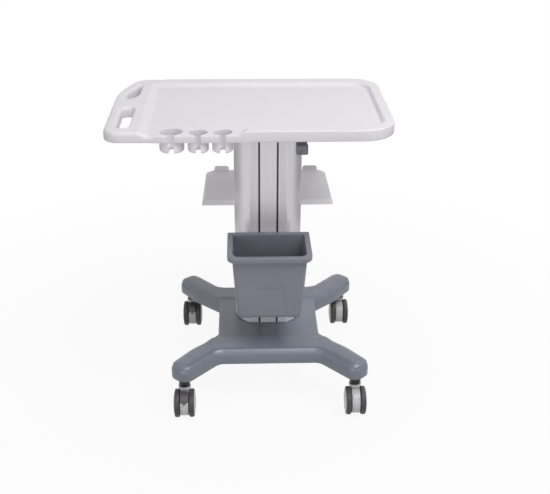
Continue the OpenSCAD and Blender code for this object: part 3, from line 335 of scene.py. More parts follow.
def tone_of(red, green, blue):
    """A colour written from 0 to 255 as linear light, by the sRGB rule: a straight line for the darkest
    values, and a power of 2.4 above them."""
    part = np.array([red, green, blue]) / 255
    linear = np.where(part <= 0.04045, part / 12.92, ((part + 0.055) / 1.055) ** 2.4)
    return (*linear.tolist(), 1.0)


def new_finish(slot, **sockets):
    """A material with one Principled shader; sockets are constants on it."""
    made = bpy.data.materials.new(slot)
    made.use_nodes = True
    shader = made.node_tree.nodes["Principled BSDF"]
    for label, value in sockets.items():
        shader.inputs[label.replace("_", " ")].default_value = value
    materials[slot] = made
    return made.node_tree, shader


def pattern(tree, shader, colour, rough, height, depth, strength):
    """Colour and roughness that vary, and a bump of that depth in millimetres from a height from 0 to 1."""
    bump = add(tree, "Bump", {"Height": height, "Strength": strength, "Distance": depth * MM})
    tree.links.new(colour, shader.inputs["Base Color"])
    tree.links.new(rough, shader.inputs["Roughness"])
    tree.links.new(bump.outputs[0], shader.inputs["Normal"])


# %% Plastics, paints and rubber
ROUGHNESS_SPREAD, GRAIN_STRENGTH = 0.05, 0.35
DUST_TONE, SCUFF_TONE = (176, 174, 170), (190, 190, 192)


def moulded(slot, tint, shade, rough, scale, mottle, depth=0.1, dusty=0.0, scuffed=0.0, scuff_tone=SCUFF_TONE,
            **sockets):
    """Plastic, paint or rubber, with a tint and a shade, a roughness, and the scales of its grain and its
    mottle. Scuffs lie over those, and dust over both."""
    tree, shader = new_finish(slot, **sockets)
    base = add(tree, "Group", node_tree=grain, inputs={
        "Tint": tone_of(*tint), "Shade": tone_of(*shade), "Grain Scale": scale, "Mottle Scale": mottle,
        "Roughness": rough, "Roughness Spread": ROUGHNESS_SPREAD}).outputs
    colour = base["Colour"]
    for amount, layer, layer_tone in ((scuffed, scuff, scuff_tone), (dusty, dust, DUST_TONE)):
        if amount:
            mask = add(tree, "Group", {"Amount": amount}, node_tree=layer).outputs["Mask"]
            colour = mix_colour(tree, mask, colour, tone_of(*layer_tone))
    pattern(tree, shader, colour, base["Roughness"], base["Height"], depth, GRAIN_STRENGTH)


moulded("table_plastic", (224, 222, 227), (219, 217, 222), 0.42, 1100.0, 4.0, depth=0.05, scuffed=0.10,
        scuff_tone=(206, 205, 208))
moulded("cup_plastic", (232, 230, 235), (226, 224, 229), 0.40, 1100.0, 9.0, depth=0.05)
moulded("slate_plastic", (111, 118, 131), (105, 112, 125), 0.34, 850.0, 6.0, dusty=0.10, scuffed=0.16,
        scuff_tone=(150, 154, 160), Specular_IOR_Level=0.75)
moulded("bin_plastic", (128, 130, 142), (121, 123, 135), 0.36, 900.0, 8.0, dusty=0.06, scuffed=0.14,
        scuff_tone=(150, 152, 160))
moulded("shelf_paint", (240, 237, 242), (233, 230, 235), 0.36, 420.0, 10.0, depth=0.12, dusty=0.10)
moulded("bracket_paint", (172, 172, 178), (162, 162, 168), 0.36, 420.0, 12.0, depth=0.12)
moulded("frame_paint", (58, 60, 64), (48, 50, 54), 0.45, 420.0, 12.0, depth=0.15, scuffed=0.3)
moulded("spring_paint", (38, 39, 42), (30, 31, 34), 0.30, 500.0, 14.0, depth=0.08, scuffed=0.2)
moulded("glide_plastic", (222, 219, 208), (210, 207, 196), 0.45, 700.0, 20.0)
moulded("lever_plastic", (122, 124, 134), (112, 114, 123), 0.38, 1000.0, 25.0, depth=0.12)
moulded("housing_plastic", (200, 200, 204), (188, 188, 193), 0.36, 1200.0, 30.0, depth=0.06, dusty=0.12)
moulded("hub_plastic", (205, 205, 209), (192, 192, 197), 0.32, 1200.0, 30.0, depth=0.05, dusty=0.08)
moulded("tyre_rubber", (66, 63, 64), (54, 52, 53), 0.55, 1300.0, 40.0, depth=0.15, dusty=0.25, scuffed=0.35,
        scuff_tone=(116, 112, 110))
moulded("pedal_plastic", (82, 80, 84), (70, 68, 72), 0.42, 1000.0, 30.0, depth=0.15, dusty=0.12, scuffed=0.3)
moulded("collar_plastic", (30, 31, 33), (22, 23, 25), 0.38, 1100.0, 30.0, depth=0.08, dusty=0.15)
print(len(materials), "plastics, paints and rubber")

# %% [markdown]
# ## The metals
#
# The column and the mast are drawn aluminium, so fine streaks run up and down them, and shade is painted into
# the column's two slots, where little light reaches their depth. The spring's rod is chrome with finer
# streaks, and steel and brass have an even grain. The streaks could be scratched in by hand, but noise that
# is stretched along the way of drawing does the same over the whole length.

# %% Metals
STREAK_SHARE, STREAK_DEPTH, STREAK_STRENGTH = 0.6, 0.02, 0.3
ALONG_Z = (700.0, 700.0, 3.0)


def drawn_metal(slot, tint, shade, rough, density, spread=0.08, metallic=1.0, slot_shade_tone=None):
    """Metal with streaks along the way it was drawn: they vary its tone, its roughness and its relief. A slot
    shade tone paints shade into the depth of the column's slots, where little light reaches."""
    tree, shader = new_finish(slot, Metallic=metallic)
    lines = add(tree, "Group", {"Density": density}, node_tree=streak).outputs
    streaked = calc(tree, "MULTIPLY", lines["Streak"], STREAK_SHARE)
    share = calc(tree, "MULTIPLY_ADD", lines["Cloud"], 1 - STREAK_SHARE, streaked)
    colour = mix_colour(tree, share, tone_of(*tint), tone_of(*shade))
    if slot_shade_tone:
        # Painted shade: the slots' depth is darkened in the colour, over the streaked tone.
        painted_slot_shade = add(tree, "Group", node_tree=slots).outputs["Mask"]
        colour = mix_colour(tree, painted_slot_shade, colour, tone_of(*slot_shade_tone))
    uneven = stretch(tree, share, 0.0, 1.0, rough - spread, rough + spread)
    pattern(tree, shader, colour, uneven, lines["Streak"], STREAK_DEPTH, STREAK_STRENGTH)


# The column's slots get a painted shade of this dark tone.
drawn_metal("column_aluminium", (242, 239, 244), (230, 227, 232), 0.36, ALONG_Z, metallic=0.35,
            slot_shade_tone=(84, 84, 90))
drawn_metal("mast_aluminium", (210, 209, 212), (192, 191, 195), 0.32, ALONG_Z)
drawn_metal("bright_steel", (190, 190, 192), (160, 160, 163), 0.28, (500.0, 500.0, 500.0))
drawn_metal("rod_chrome", (216, 217, 220), (200, 201, 205), 0.12, (900.0, 900.0, 20.0), spread=0.04)
drawn_metal("pin_brass", (202, 170, 102), (176, 142, 78), 0.30, (600.0, 600.0, 600.0))
print(len(materials), "finishes in all")

# %% Finishes on the solids that stay
slot_of = {part["node"]: part["material_slot"] for part in frame["record"]["subparts"]}
for name, solid in frame["nodes"].items():
    solid.data.materials.clear()
    solid.data.materials.append(materials[slot_of[name]])
print(len(slot_of), "solids have their finish")

# %% [markdown]
# ## Surfaces from numbers
#
# A moulding can be pushed and pulled by hand, but here each form is worked out with numpy. Three kinds of
# surface make nearly everything: a profile turned about an axis, rings of points joined one above the other,
# and an outline filled with a net of triangles that is lifted to a height. Working in whole arrays keeps the
# formulas short, and merging the seams at the end gives one closed skin.

# %% Patches and pieces
MERGE = 2e-6
SHARP_ANGLE = math.radians(38)


def grid_patch(points, close_rows=False):
    """A (rows, columns, 3) array as vertices and quads: each quad joins four neighbours. The last column
    joins the first, and with close_rows the last row joins the first as well."""
    rows, columns = points.shape[:2]
    index = np.arange(rows * columns).reshape(rows, columns)
    index = np.hstack([index, index[:, :1]])
    if close_rows:
        index = np.vstack([index, index[:1]])
    quads = np.stack([index[:-1, :-1], index[1:, :-1], index[1:, 1:], index[:-1, 1:]], axis=-1)
    return points.reshape(-1, 3), quads.reshape(-1, 4)


def skin(rings):
    """Rings with equal numbers of points, joined one to the next, with one flat face on each end."""
    whole = np.arange(rings.shape[1])[None]
    return [grid_patch(rings), (rings[0], whole), (rings[-1], whole)]


def piece(name, patches, body, slot, node):
    """Patches in millimetres as one object: seams are merged, faces turned outwards, and only sharp folds
    stay sharp. The piece rides on its body, takes its slot's finish and stands for the solid it replaces."""
    starts = np.cumsum([0] + [len(points) for points, _ in patches])
    faces = [face for start, (_, corners) in zip(starts, patches) for face in (corners + start).tolist()]
    made = new_object(name, np.vstack([points for points, _ in patches]) * MM, faces, materials[slot])
    mesh = made.data
    work = bmesh.new()
    work.from_mesh(mesh)
    bmesh.ops.remove_doubles(work, verts=work.verts, dist=MERGE)
    bmesh.ops.dissolve_degenerate(work, dist=MERGE, edges=work.edges)
    bmesh.ops.delete(work, geom=[edge for edge in work.edges if edge.is_wire], context="EDGES")
    bmesh.ops.recalc_face_normals(work, faces=work.faces)
    open_edges = sum(not edge.is_manifold for edge in work.edges)
    work.to_mesh(mesh)
    work.free()
    mesh.shade_smooth()
    mesh.set_sharp_from_angle(angle=SHARP_ANGLE)
    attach(made, body)
    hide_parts(node)
    print(f"{name}: {len(mesh.polygons)} faces, {open_edges} open edges")


# %% Rounded outlines
ARC_STEPS = 8
LEAST_R = 0.05


def unit(vectors):
    """Vectors brought to length one."""
    return vectors / np.linalg.norm(vectors, axis=-1, keepdims=True)


def left_of(vectors):
    """Each plane vector turned a quarter to the left."""
    return np.stack([-vectors[..., 1], vectors[..., 0]], axis=-1)


def rounded(corners, inset=0.0, side_parts=1):
    """A closed outline from corners (x, y, radius). Both edges at a corner move in by the inset, the arc's
    centre lies one radius from both, and its points turn evenly about it. The straight side that follows is
    cut into side_parts."""
    corners = np.asarray(corners, float)
    at, bend_r = corners[:, :2], corners[:, 2]
    before, after = unit(at - np.roll(at, 1, axis=0)), unit(np.roll(at, -1, axis=0) - at)
    along = (before * after).sum(axis=1)
    turn = np.arctan2(before[:, 0] * after[:, 1] - before[:, 1] * after[:, 0], along)
    radius = np.maximum(bend_r - np.sign(turn) * inset, LEAST_R)
    tip = at + inset * (left_of(before) + left_of(after)) / (1 + along)[:, None]
    start = tip - before * (radius * np.tan(np.abs(turn) / 2))[:, None]
    centre = start + left_of(before) * (np.sign(turn) * radius)[:, None]
    arm = (start - centre)[:, None]
    angle = (turn[:, None] * np.linspace(0, 1, ARC_STEPS + 1))[..., None]
    arcs = centre[:, None] + arm * np.cos(angle) + left_of(arm) * np.sin(angle)
    share = np.linspace(0, 1, side_parts + 1)[1:-1, None]
    sides = arcs[:, -1:] + (np.roll(arcs[:, :1], -1, axis=0) - arcs[:, -1:]) * share
    return np.concatenate([arcs, sides], axis=1).reshape(-1, 2)


def box_corners(x0, x1, y0, y1, radius):
    """The four corners of an upright rectangle, each with that radius."""
    return [(x0, y0, radius), (x1, y0, radius), (x1, y1, radius), (x0, y1, radius)]


def moved_in(loop, distance):
    """A closed line moved in: each point goes to the left of the way from its last neighbour to its next."""
    return loop + unit(left_of(np.roll(loop, -1, axis=0) - np.roll(loop, 1, axis=0))) * distance


def raised(outline, height):
    """A plane outline set at a height, which is one number or one for each point."""
    return np.column_stack([outline, np.broadcast_to(height, len(outline))])


def lathe(profile, centre, axis, segments):
    """A profile of (radius, distance along the axis) turned about the x or z axis through centre: each point
    goes round a circle of its radius."""
    angle = np.linspace(0, 2 * np.pi, segments, endpoint=False)[:, None]
    radius, along = np.maximum(profile, [0.0, -np.inf]).T
    round_a, round_b, length = radius * np.cos(angle), radius * np.sin(angle), along + 0 * angle
    order = (round_a, round_b, length) if axis == "z" else (length, round_a, round_b)
    return grid_patch(np.stack(order, axis=-1) + centre, close_rows=True)


print("a rounded square has", len(rounded(box_corners(0, 10, 0, 10, 2))), "points")

# %% [markdown]
# ## Filled outlines
#
# The tabletop and the base are wide, flat mouldings with a free outline. A few large faces would shade badly
# near their round edges, so a net of triangles fills the outline, with close rows of points along every edge
# and a wider grid in the middle. Then each point is lifted by a formula.

# %% Lines and depths
EDGE_STEP = 5.0


def subdivided(loop, step):
    """A closed line with every stretch cut into equal parts no longer than step."""
    away = np.roll(loop, -1, axis=0) - loop
    parts = np.maximum(1, np.ceil(np.linalg.norm(away, axis=1) / step)).astype(int)
    number = np.arange(parts.sum()) - np.repeat(np.cumsum(parts) - parts, parts)
    share = (number / np.repeat(parts, parts))[:, None]
    return np.repeat(loop, parts, axis=0) + np.repeat(away, parts, axis=0) * share


def depth_inside(points, loops):
    """Distance from each point to the nearest of the closed lines, negative outside them. The nearest place
    on a stretch is its foot point held between its ends; a point is inside where a line to its right crosses
    an odd number of stretches."""
    x, y = np.asarray(points, np.float32).T[..., None]
    start = np.vstack(loops).astype(np.float32)
    away = np.vstack([np.roll(loop, -1, axis=0) - loop for loop in loops]).astype(np.float32)
    gap_x, gap_y = x - start[:, 0], y - start[:, 1]
    share = np.clip((gap_x * away[:, 0] + gap_y * away[:, 1]) / (away ** 2).sum(axis=1), 0, 1)
    nearest = np.sqrt(((gap_x - share * away[:, 0]) ** 2 + (gap_y - share * away[:, 1]) ** 2).min(axis=1))
    spans = (gap_y < 0) != (gap_y - away[:, 1] < 0)
    slope = away[:, 0] / np.where(away[:, 1] == 0, 1, away[:, 1])
    crossed = (spans & (gap_x < gap_y * slope)).sum(axis=1)
    return np.where(crossed % 2 == 1, nearest, -nearest)


def lifted(points, depth, height):
    """Points at a height, which is a number or a formula of the points and their depth."""
    return raised(points, height(points, depth) if callable(height) else height)


def wall(loop, *levels):
    """An upright wall along a closed line, through levels (how far the line is moved in, height)."""
    fine = subdivided(loop, EDGE_STEP)
    on_line = np.zeros(len(fine))
    return grid_patch(np.stack([lifted(moved_in(fine, inset), on_line, height) for inset, height in levels]))


def ease(value):
    """A soft step from 0 to 1: three times the square less twice the cube of a value held between 0 and 1."""
    held = np.clip(value, 0, 1)
    return held * held * (3 - 2 * held)


def rise(value, start, end):
    """A soft step that is 0 up to start and 1 from end on."""
    return ease((value - start) / (end - start))


def rounding(depth, radius):
    """How far a quarter-round edge lies below its face at a distance in from the edge: the radius less the
    height of the circle there."""
    short = radius - np.minimum(depth, radius)
    return radius - np.sqrt(np.maximum(radius ** 2 - short ** 2, 0))


print("a round edge of 4 mm lies", round(float(rounding(1.0, 4.0)), 2), "mm down at 1 mm in")

# %% Nets of triangles
ON_EDGE = 0.002
NEAR = 1e-5
INSIDE_LINES = 1
SLIVER_DEPTH, SLIVER_ROUNDS = 0.02, 12
ROW_KEPT, GRID_GAP = 0.97, 0.45


def inside_vote(triangles, fixed, depth):
    """1 for a triangle inside the lines and -1 for one outside. The depth of its middle tells, but not for a
    sliver that lies along a line, so a sliver takes the side of its neighbours over the edges that are on no
    line."""
    size = triangles.max() + 1
    ends = np.sort(triangles[:, [[0, 1], [1, 2], [2, 0]]], axis=-1)
    keys, fixed_keys = ends @ [size, 1], np.sort(fixed, axis=-1) @ [size, 1]
    free = ~np.isin(keys, fixed_keys)
    place = np.unique(keys, return_inverse=True)[1].reshape(keys.shape)
    sure = np.abs(depth) > SLIVER_DEPTH
    vote = np.sign(depth) * sure
    for _ in range(SLIVER_ROUNDS):
        shared = np.bincount(place.ravel(), (vote[:, None] * free).ravel())
        vote = np.where(sure, vote, np.sign((shared[place] * free).sum(axis=1)))
    return vote


def next_of(loop, first):
    """Pairs of numbers that join each point of a closed line to the next, counted from first."""
    number = first + np.arange(len(loop))
    return np.column_stack([number, np.roll(number, -1)])


def filled(loops, height, rows, step, edge_step=EDGE_STEP, extra=None):
    """The area inside closed lines as a net of triangles, lifted to a height. Rows of points stand at set
    distances in from the lines, and a grid of that step fills the rest. Extra (a line, a distance, points)
    puts its points in place of the grid's near that line. A point within ON_EDGE of a line is on it."""
    fine = [subdivided(loop, edge_step) for loop in loops]
    inner = [np.empty((0, 2))]
    for distance in rows:
        moved = np.vstack([moved_in(loop, distance) for loop in fine])
        inner.append(moved[depth_inside(moved, loops) > ROW_KEPT * distance])
    low, high = np.vstack(fine).min(axis=0), np.vstack(fine).max(axis=0)
    across, up = np.meshgrid(np.arange(low[0], high[0], step), np.arange(low[1], high[1], step))
    spread = np.column_stack([across.ravel(), up.ravel()])
    if extra:
        line, distance, points = extra
        spread = np.vstack([spread[np.abs(depth_inside(spread, [line])) > distance], points])
    inner.append(spread[depth_inside(spread, loops) > max(rows, default=0.0) + GRID_GAP * step])
    firsts = np.cumsum([0] + [len(loop) for loop in fine])
    edges = np.vstack([next_of(loop, first) for loop, first in zip(fine, firsts)])
    flat, lines, triangles, _, sources, _ = delaunay_2d_cdt(
        np.vstack(fine + inner).tolist(), edges.tolist(), [], INSIDE_LINES, NEAR)
    flat, triangles = np.array(flat), np.array(triangles)
    fixed = np.array(lines)[[len(source) > 0 for source in sources]]
    middle_depth = depth_inside(flat[triangles].mean(axis=1), loops)
    depth = np.maximum(depth_inside(flat, loops) - ON_EDGE, 0.0)
    return lifted(flat, depth, height), triangles[inside_vote(triangles, fixed, middle_depth) > 0]


print("nets have an edge point every", EDGE_STEP, "mm")

# %% [markdown]
# ## The tabletop
#
# The top is one large white moulding: a tray with a raised rim, a raised end on the left with two hand holes,
# and a low strip at the front left where the probe cups hang. Its edges are round enough to hold, and the
# tray's walls are slopes, wide on the left and narrow on the right. Cutting boxes out of a block would leave
# hard steps, so the whole top is a height above the plan: the rim's height, less a soft step where the tray
# lies, less a quarter-round near every edge.

# %% Plan of the tabletop
TABLE_Y = 12.9186
HALF_W, HALF_D = 348.0, 221.0
STRIP_FRONT, STRIP_LEFT, STRIP_RIGHT, STRIP_R, STRIP_LEAN = -224.0, -222.0, -18.0, 8.0, 18.0
CUPS = {"wide": (-188.0, -190.5, 53.0), "middle": (-125.0, -195.0, 44.0), "right": (-67.0, -195.0, 44.0)}
CUP_SLOT, MOUTH_R, MOUTH_POINTS, BORE_POINTS = 13.0, 3.0, 5, 49

table_corners = [
    (-HALF_W, STRIP_FRONT, 38.0), (STRIP_RIGHT, STRIP_FRONT, STRIP_R),
    (STRIP_RIGHT + STRIP_LEAN, -HALF_D, STRIP_R), (HALF_W, -HALF_D, 82.0), (HALF_W, HALF_D, 72.0),
    (42.0 - HALF_W, HALF_D, 45.0), (-HALF_W, HALF_D - 122.0, 300.0)]
tray_corners = [
    (-254.0, -260.0, 12.0), (-29.0, -260.0, 1.0), (-10.0, -181.0, 14.0), (320.5, -181.0, 45.0),
    (320.5, 178.0, 45.0), (-254.0, 178.0, 16.0)]
front_hole = box_corners(-319.0, -288.0, -186.0, -32.0, 11.0)
rear_hole = [(-319.0, 34.0, 6.0), (-288.0, 71.0, 11.0), (-286.9, 170.0, 2.5), (-292.9, 170.0, 2.5),
             (-319.0, 89.6, 11.0)]
hollow_edge = rounded(box_corners(-238.0, 316.0, -156.0, 205.0, 20.0))


def keyhole(x, y, bore):
    """Edge of the strip round one cup: in along the slot's left side, round the bore, and out along its right
    side. The slot meets the bore at the angle from the front whose sine is half the slot over the radius."""
    half, radius = CUP_SLOT / 2, bore / 2
    bend = np.linspace(0, np.pi / 2, MOUTH_POINTS)
    mouth = MOUTH_R * np.column_stack([np.sin(bend) - 1, 1 - np.cos(bend)])
    left_side = mouth + [x - half, STRIP_FRONT]
    right_side = mouth[::-1] * [-1, 1] + [x + half, STRIP_FRONT]
    opening = np.arcsin(half / radius)
    sweep = np.linspace(-np.pi / 2 - opening, -5 * np.pi / 2 + opening, BORE_POINTS)
    round_bore = np.column_stack([x + radius * np.cos(sweep), y + radius * np.sin(sweep)])
    return np.vstack([left_side, round_bore, right_side])


first_corner, other_corners = np.split(rounded(table_corners), [ARC_STEPS + 1])
table_edge = np.vstack([first_corner, *[keyhole(*cup) for cup in CUPS.values()], other_corners])
open_loops = [table_edge, rounded(front_hole)[::-1], rounded(rear_hole)[::-1]]
tray_edge = rounded(tray_corners)
print("table edge has", len(table_edge), "points")

# %% Height of the tabletop
TABLE_TOP, TABLE_UNDER, TRAY_DEPTH = 776.0, 748.0, 10.0
EDGE_R, GRIP_R, HOLE_R, STRIP_EDGE_R, UNDER_R = 4.0, 10.0, 4.5, 2.5, 4.0
RIGHT_SLOPE, BACK_SLOPE, LEFT_SLOPE, FRONT_SLOPE, STRIP_SLOPE = 9.5, 20.0, 28.0, 14.0, 18.0
# Where each blend starts and where it is done, in the table's own x or y
TO_RIGHT, TO_BACK, TO_LEFT, TO_FRONT = (265.0, 310.0), (120.0, 170.0), (-150.0, -230.0), (-150.0, -170.0)
BACK_STARTS = (-230.0, -190.0)
STRIP_END_X, STRIP_END_WIDTH = -12.0, (60.0, 20.0)
STRIP_BOX = (STRIP_LEFT - 4, STRIP_RIGHT + 8, -162.0)
STRIP_FADE, TO_GRIP = 16.0, (STRIP_LEFT, STRIP_LEFT - 20)
FAR_FROM_EDGE, HOLE_RIGHT = (12.0, 17.0), (-297.0, -289.0)


def blend(first, second, share):
    """The first value, with a share of the second."""
    return first + (second - first) * share


def slope_width(points):
    """Width of the tray's slope, blended from side to side over a few centimetres."""
    x, y = points.T
    width = blend(FRONT_SLOPE, LEFT_SLOPE, rise(x, *TO_LEFT))
    width = blend(width, BACK_SLOPE, rise(y, *TO_BACK) * rise(x, *BACK_STARTS))
    at_strip_end = rise(y, *TO_FRONT) * rise(np.abs(x - STRIP_END_X), *STRIP_END_WIDTH)
    return blend(blend(width, STRIP_SLOPE, at_strip_end), RIGHT_SLOPE, rise(x, *TO_RIGHT))


def edge_radius(points):
    """Rounding of the edge: small round the strip and its cups, larger on the rim, and full on the raised
    end, except on the right side of its holes."""
    x, y = points.T
    left, right_end, back = STRIP_BOX
    away = np.maximum(np.maximum(left - x, x - right_end), y - back)
    rim = blend(STRIP_EDGE_R, EDGE_R, ease(away / STRIP_FADE))
    beside_hole = rise(depth_inside(points, [table_edge]), *FAR_FROM_EDGE) * rise(x, *HOLE_RIGHT)
    return blend(rim, blend(GRIP_R, HOLE_R, beside_hole), rise(x, *TO_GRIP))


def top_height(points, depth):
    """Height of the top: the rim, less the tray's depth where the soft step is done, less the quarter-round
    of the nearest edge."""
    step_done = ease(depth_inside(points, [tray_edge]) / slope_width(points) + 0.5)
    return TABLE_TOP - TRAY_DEPTH * step_done - rounding(depth, edge_radius(points))


def under_height(points, depth):
    """Height of the underside, with the smaller rounding of the lower edge."""
    return TABLE_UNDER + rounding(depth, np.minimum(UNDER_R, edge_radius(points) / 2))


table_middle = np.array([[0.0, 0.0]])
print("the tray lies at", float(top_height(table_middle, np.array([HALF_D]))[0]), "mm")

# %% Tabletop skin
HOLLOW_TOP = 761.0
TOP_STEP, UNDER_STEP, FLAT_STEP = 7.0, 14.0, 40.0
TRAY_STEP, TRAY_CLEAR = 6.0, 16.0
TRAY_ROWS = np.arange(-15.0, 15.1, 2.0)
TOP_ROWS = np.array([0.15, 0.5, 1.1, 2.0, 3.2, 4.5, 7.0, 10.0])
UNDER_ROWS = UNDER_R * (1 - np.cos(np.radians([25, 50, 90])))

tray_line = subdivided(tray_edge, TRAY_STEP)
tray_points = np.vstack([moved_in(tray_line, row) for row in TRAY_ROWS])
patches = [
    filled(open_loops, top_height, TOP_ROWS, TOP_STEP, extra=(tray_edge, TRAY_CLEAR, tray_points)),
    filled([*open_loops, hollow_edge[::-1]], under_height, UNDER_ROWS, UNDER_STEP),
    filled([hollow_edge], HOLLOW_TOP, (), FLAT_STEP),
    wall(hollow_edge, (0.0, under_height), (0.0, HOLLOW_TOP)),
    *[wall(loop, (0.0, under_height), (0.0, top_height)) for loop in open_loops]]
patches = [(points + [0, TABLE_Y, 0], faces) for points, faces in patches]
piece("tabletop_moulding", patches, "table", "table_plastic", "tabletop")

# %% [markdown]
# ## The probe cups
#
# Three straight cups hang under the strip, each with a slot for a probe's cable that runs down its front and
# on to the middle of its floor. A cylinder with a box cut out of it would do, but a cup is simply a profile
# swept round most of a circle. The slot has the same width all the way, so each point of the profile starts
# at its own angle, and on the floor the sweep ends in a half circle behind the slot.

# %% Cups
CUP_WALL, CUP_FLOOR = 3.0, 4.0
CUP_HEAD, CUP_FOOT = 752.0, 719.0
CUP_EDGE_R, CUP_LIP_R, CUP_INNER_R, CUP_SLOT_R = 5.5, 0.5, 2.0, 0.4
CUP_POINTS, CUP_SIDE_PARTS = 73, 4

for name, (x, y, bore) in CUPS.items():
    outer, inner, middle = bore / 2 + CUP_WALL, bore / 2, CUP_SLOT / 2
    radius, height = rounded([
        (middle, CUP_FOOT, CUP_SLOT_R), (outer, CUP_FOOT, CUP_EDGE_R), (outer, CUP_HEAD, CUP_LIP_R),
        (inner, CUP_HEAD, CUP_LIP_R), (inner, CUP_FOOT + CUP_FLOOR, CUP_INNER_R),
        (middle, CUP_FOOT + CUP_FLOOR, CUP_SLOT_R)], side_parts=CUP_SIDE_PARTS).T
    opening = np.arcsin(np.minimum(middle / radius, 1))
    way_round = np.linspace(0, 1, CUP_POINTS)[:, None]
    sweep = -np.pi / 2 + opening + way_round * (2 * np.pi - 2 * opening)
    cup = [x + radius * np.cos(sweep), y + TABLE_Y + radius * np.sin(sweep), height + 0 * sweep]
    piece(f"cup_{name}_bowl", skin(np.stack(cup, axis=-1)), "table", "cup_plastic", f"probe_cup_{name}")

# %% [markdown]
# ## The bin
#
# The bin is a thin moulding that tapers towards its foot, with a rim turned out and down and a shallow panel
# low on its front. It is a stack of rounded rectangles: up the inside, over the rim, down the outside. The
# panel is pressed into the outer rings by a soft mask, so it needs no edges of its own.

# %% Bin outline
BIN_X, BIN_TOP, BIN_FOOT = 46.0, 431.0, 237.0
BIN_HALF, BIN_FRONT, BIN_BACK = 97.0, -174.48, -38.48
BIN_SIDE_IN, BIN_FRONT_IN, BIN_WALL = 13.0, 18.0, 2.5
BIN_R, BIN_IN_R, BIN_BACK_R, BIN_FOOT_R = 10.0, 20.0, 4.0, 15.0
BIN_SIDE_PARTS, CURVE_ROWS = 40, 6


def bin_ring(inset, z, front_r):
    """The bin's outline at a height, moved in: the sides and the front lean in towards the foot, and the back
    corners keep their small radius on the rim too."""
    lean = (BIN_TOP - z) / (BIN_TOP - BIN_FOOT)
    left, right_side = BIN_X + (BIN_HALF - BIN_SIDE_IN * lean) * np.array([-1, 1])
    front, back_r = BIN_FRONT + BIN_FRONT_IN * lean, BIN_BACK_R + min(inset, 0)
    corners = [(left, front, front_r), (right_side, front, front_r), (right_side, BIN_BACK, back_r),
               (left, BIN_BACK, back_r)]
    return raised(rounded(corners, inset, BIN_SIDE_PARTS), z)


def quarter(centre_inset, centre_z, radius, start, end, rows=CURVE_ROWS):
    """Arc of a profile as (inset, height) pairs: angle 0 points to larger inset and 90 degrees up."""
    angle = np.radians(np.linspace(start, end, rows))
    return np.column_stack([centre_inset + radius * np.cos(angle), centre_z + radius * np.sin(angle)])


def straight(inset, start, end, rows):
    """Upright stretch of a profile as (inset, height) pairs."""
    return np.column_stack([np.full(rows, inset), np.linspace(start, end, rows)])


print("bin foot is", 2 * (BIN_HALF - BIN_SIDE_IN), "mm wide")

# %% Bin rings
RIM_OUT, RIM_DROP, RIM_R = 12.0, 14.0, 2.2
SKIRT_R, SKIRT_TOP, SKIRT_BEND, SKIRT_ROOT = 1.2, 5.0, 1.0, 0.5
INNER_FROM, INNER_TO, OUTER_FROM, OUTER_TO = 30.0, 12.0, 6.0, 2.0
INNER_ROWS, OUTER_ROWS, FOOT_ROWS = 10, 44, 8
PANEL_TOP, PANEL_LOW, PANEL_TOP_HALF, PANEL_LOW_HALF = 336.5, 240.0, 37.0, 49.5
PANEL_DEPTH, PANEL_SOFT = 2.2, 3.0

foot_z, rim_z = BIN_FOOT + BIN_FOOT_R, BIN_TOP - RIM_R
inside = np.vstack([
    quarter(BIN_FOOT_R, foot_z, BIN_FOOT_R - BIN_WALL, 270, 180),
    straight(BIN_WALL, BIN_FOOT + INNER_FROM, BIN_TOP - INNER_TO, INNER_ROWS),
    quarter(BIN_WALL - RIM_R, rim_z, RIM_R, 0, 90)])
under_rim = [
    (2 * SKIRT_R - RIM_OUT, BIN_TOP - SKIRT_TOP), (BIN_WALL + SKIRT_BEND - RIM_OUT, BIN_TOP - BIN_WALL),
    (0.0, BIN_TOP - BIN_WALL - SKIRT_ROOT)]
over_rim_and_down = np.vstack([
    quarter(RIM_R - RIM_OUT, rim_z, RIM_R, 90, 180),
    quarter(SKIRT_R - RIM_OUT, BIN_TOP - RIM_DROP + SKIRT_R, SKIRT_R, 180, 360),
    under_rim,
    straight(0.0, BIN_TOP - OUTER_FROM, foot_z + OUTER_TO, OUTER_ROWS),
    quarter(BIN_FOOT_R, foot_z, BIN_FOOT_R, 180, 270, FOOT_ROWS)])
rings = np.stack([bin_ring(*row, BIN_IN_R) for row in inside] +
                 [bin_ring(*row, BIN_R) for row in over_rim_and_down])

x, y, z = np.moveaxis(rings[-OUTER_ROWS - FOOT_ROWS:], -1, 0)
half_panel = blend(PANEL_LOW_HALF, PANEL_TOP_HALF, (z - PANEL_LOW) / (PANEL_TOP - PANEL_LOW))
pressed = ease((half_panel - np.abs(x - BIN_X)) / PANEL_SOFT) * ease((PANEL_TOP - z) / PANEL_SOFT)
y += PANEL_DEPTH * pressed * (y < BIN_FRONT + BIN_FRONT_IN + BIN_FOOT_R)
piece("bin_moulding", skin(rings), "bin", "bin_plastic", "bin")

# %% [markdown]
# ## The base
#
# The base cover is an X-shaped shell: a waist, a beam across the front and the back, and four legs. Its upper
# edge is rounded a little along the waist and much more on the legs, and the beams have a bevel. The waist
# lies a few millimetres lower than the beams. Boxes with bevels would not run into each other as softly, so
# its upper side is a height above the plan, as with the tabletop.

# %% Plan of the base
BASE_X, BASE_Y, BASE_TOP, BASE_UNDER = 46.0, 12.9186, 150.0, 107.0
STEM = np.array([225.5, 235.5])
LEG_ANGLE, LEG_HALF, LEG_END, LEG_TIP_R = math.radians(48), 32.0, 27.0, 27.0
LEG_BULGE, LEG_BULGE_R = 9.0, 200.0
WAIST_HALF, BEAM_HALF, WAIST_R, BEAM_R = 138.0, 182.0, 15.0, 30.0

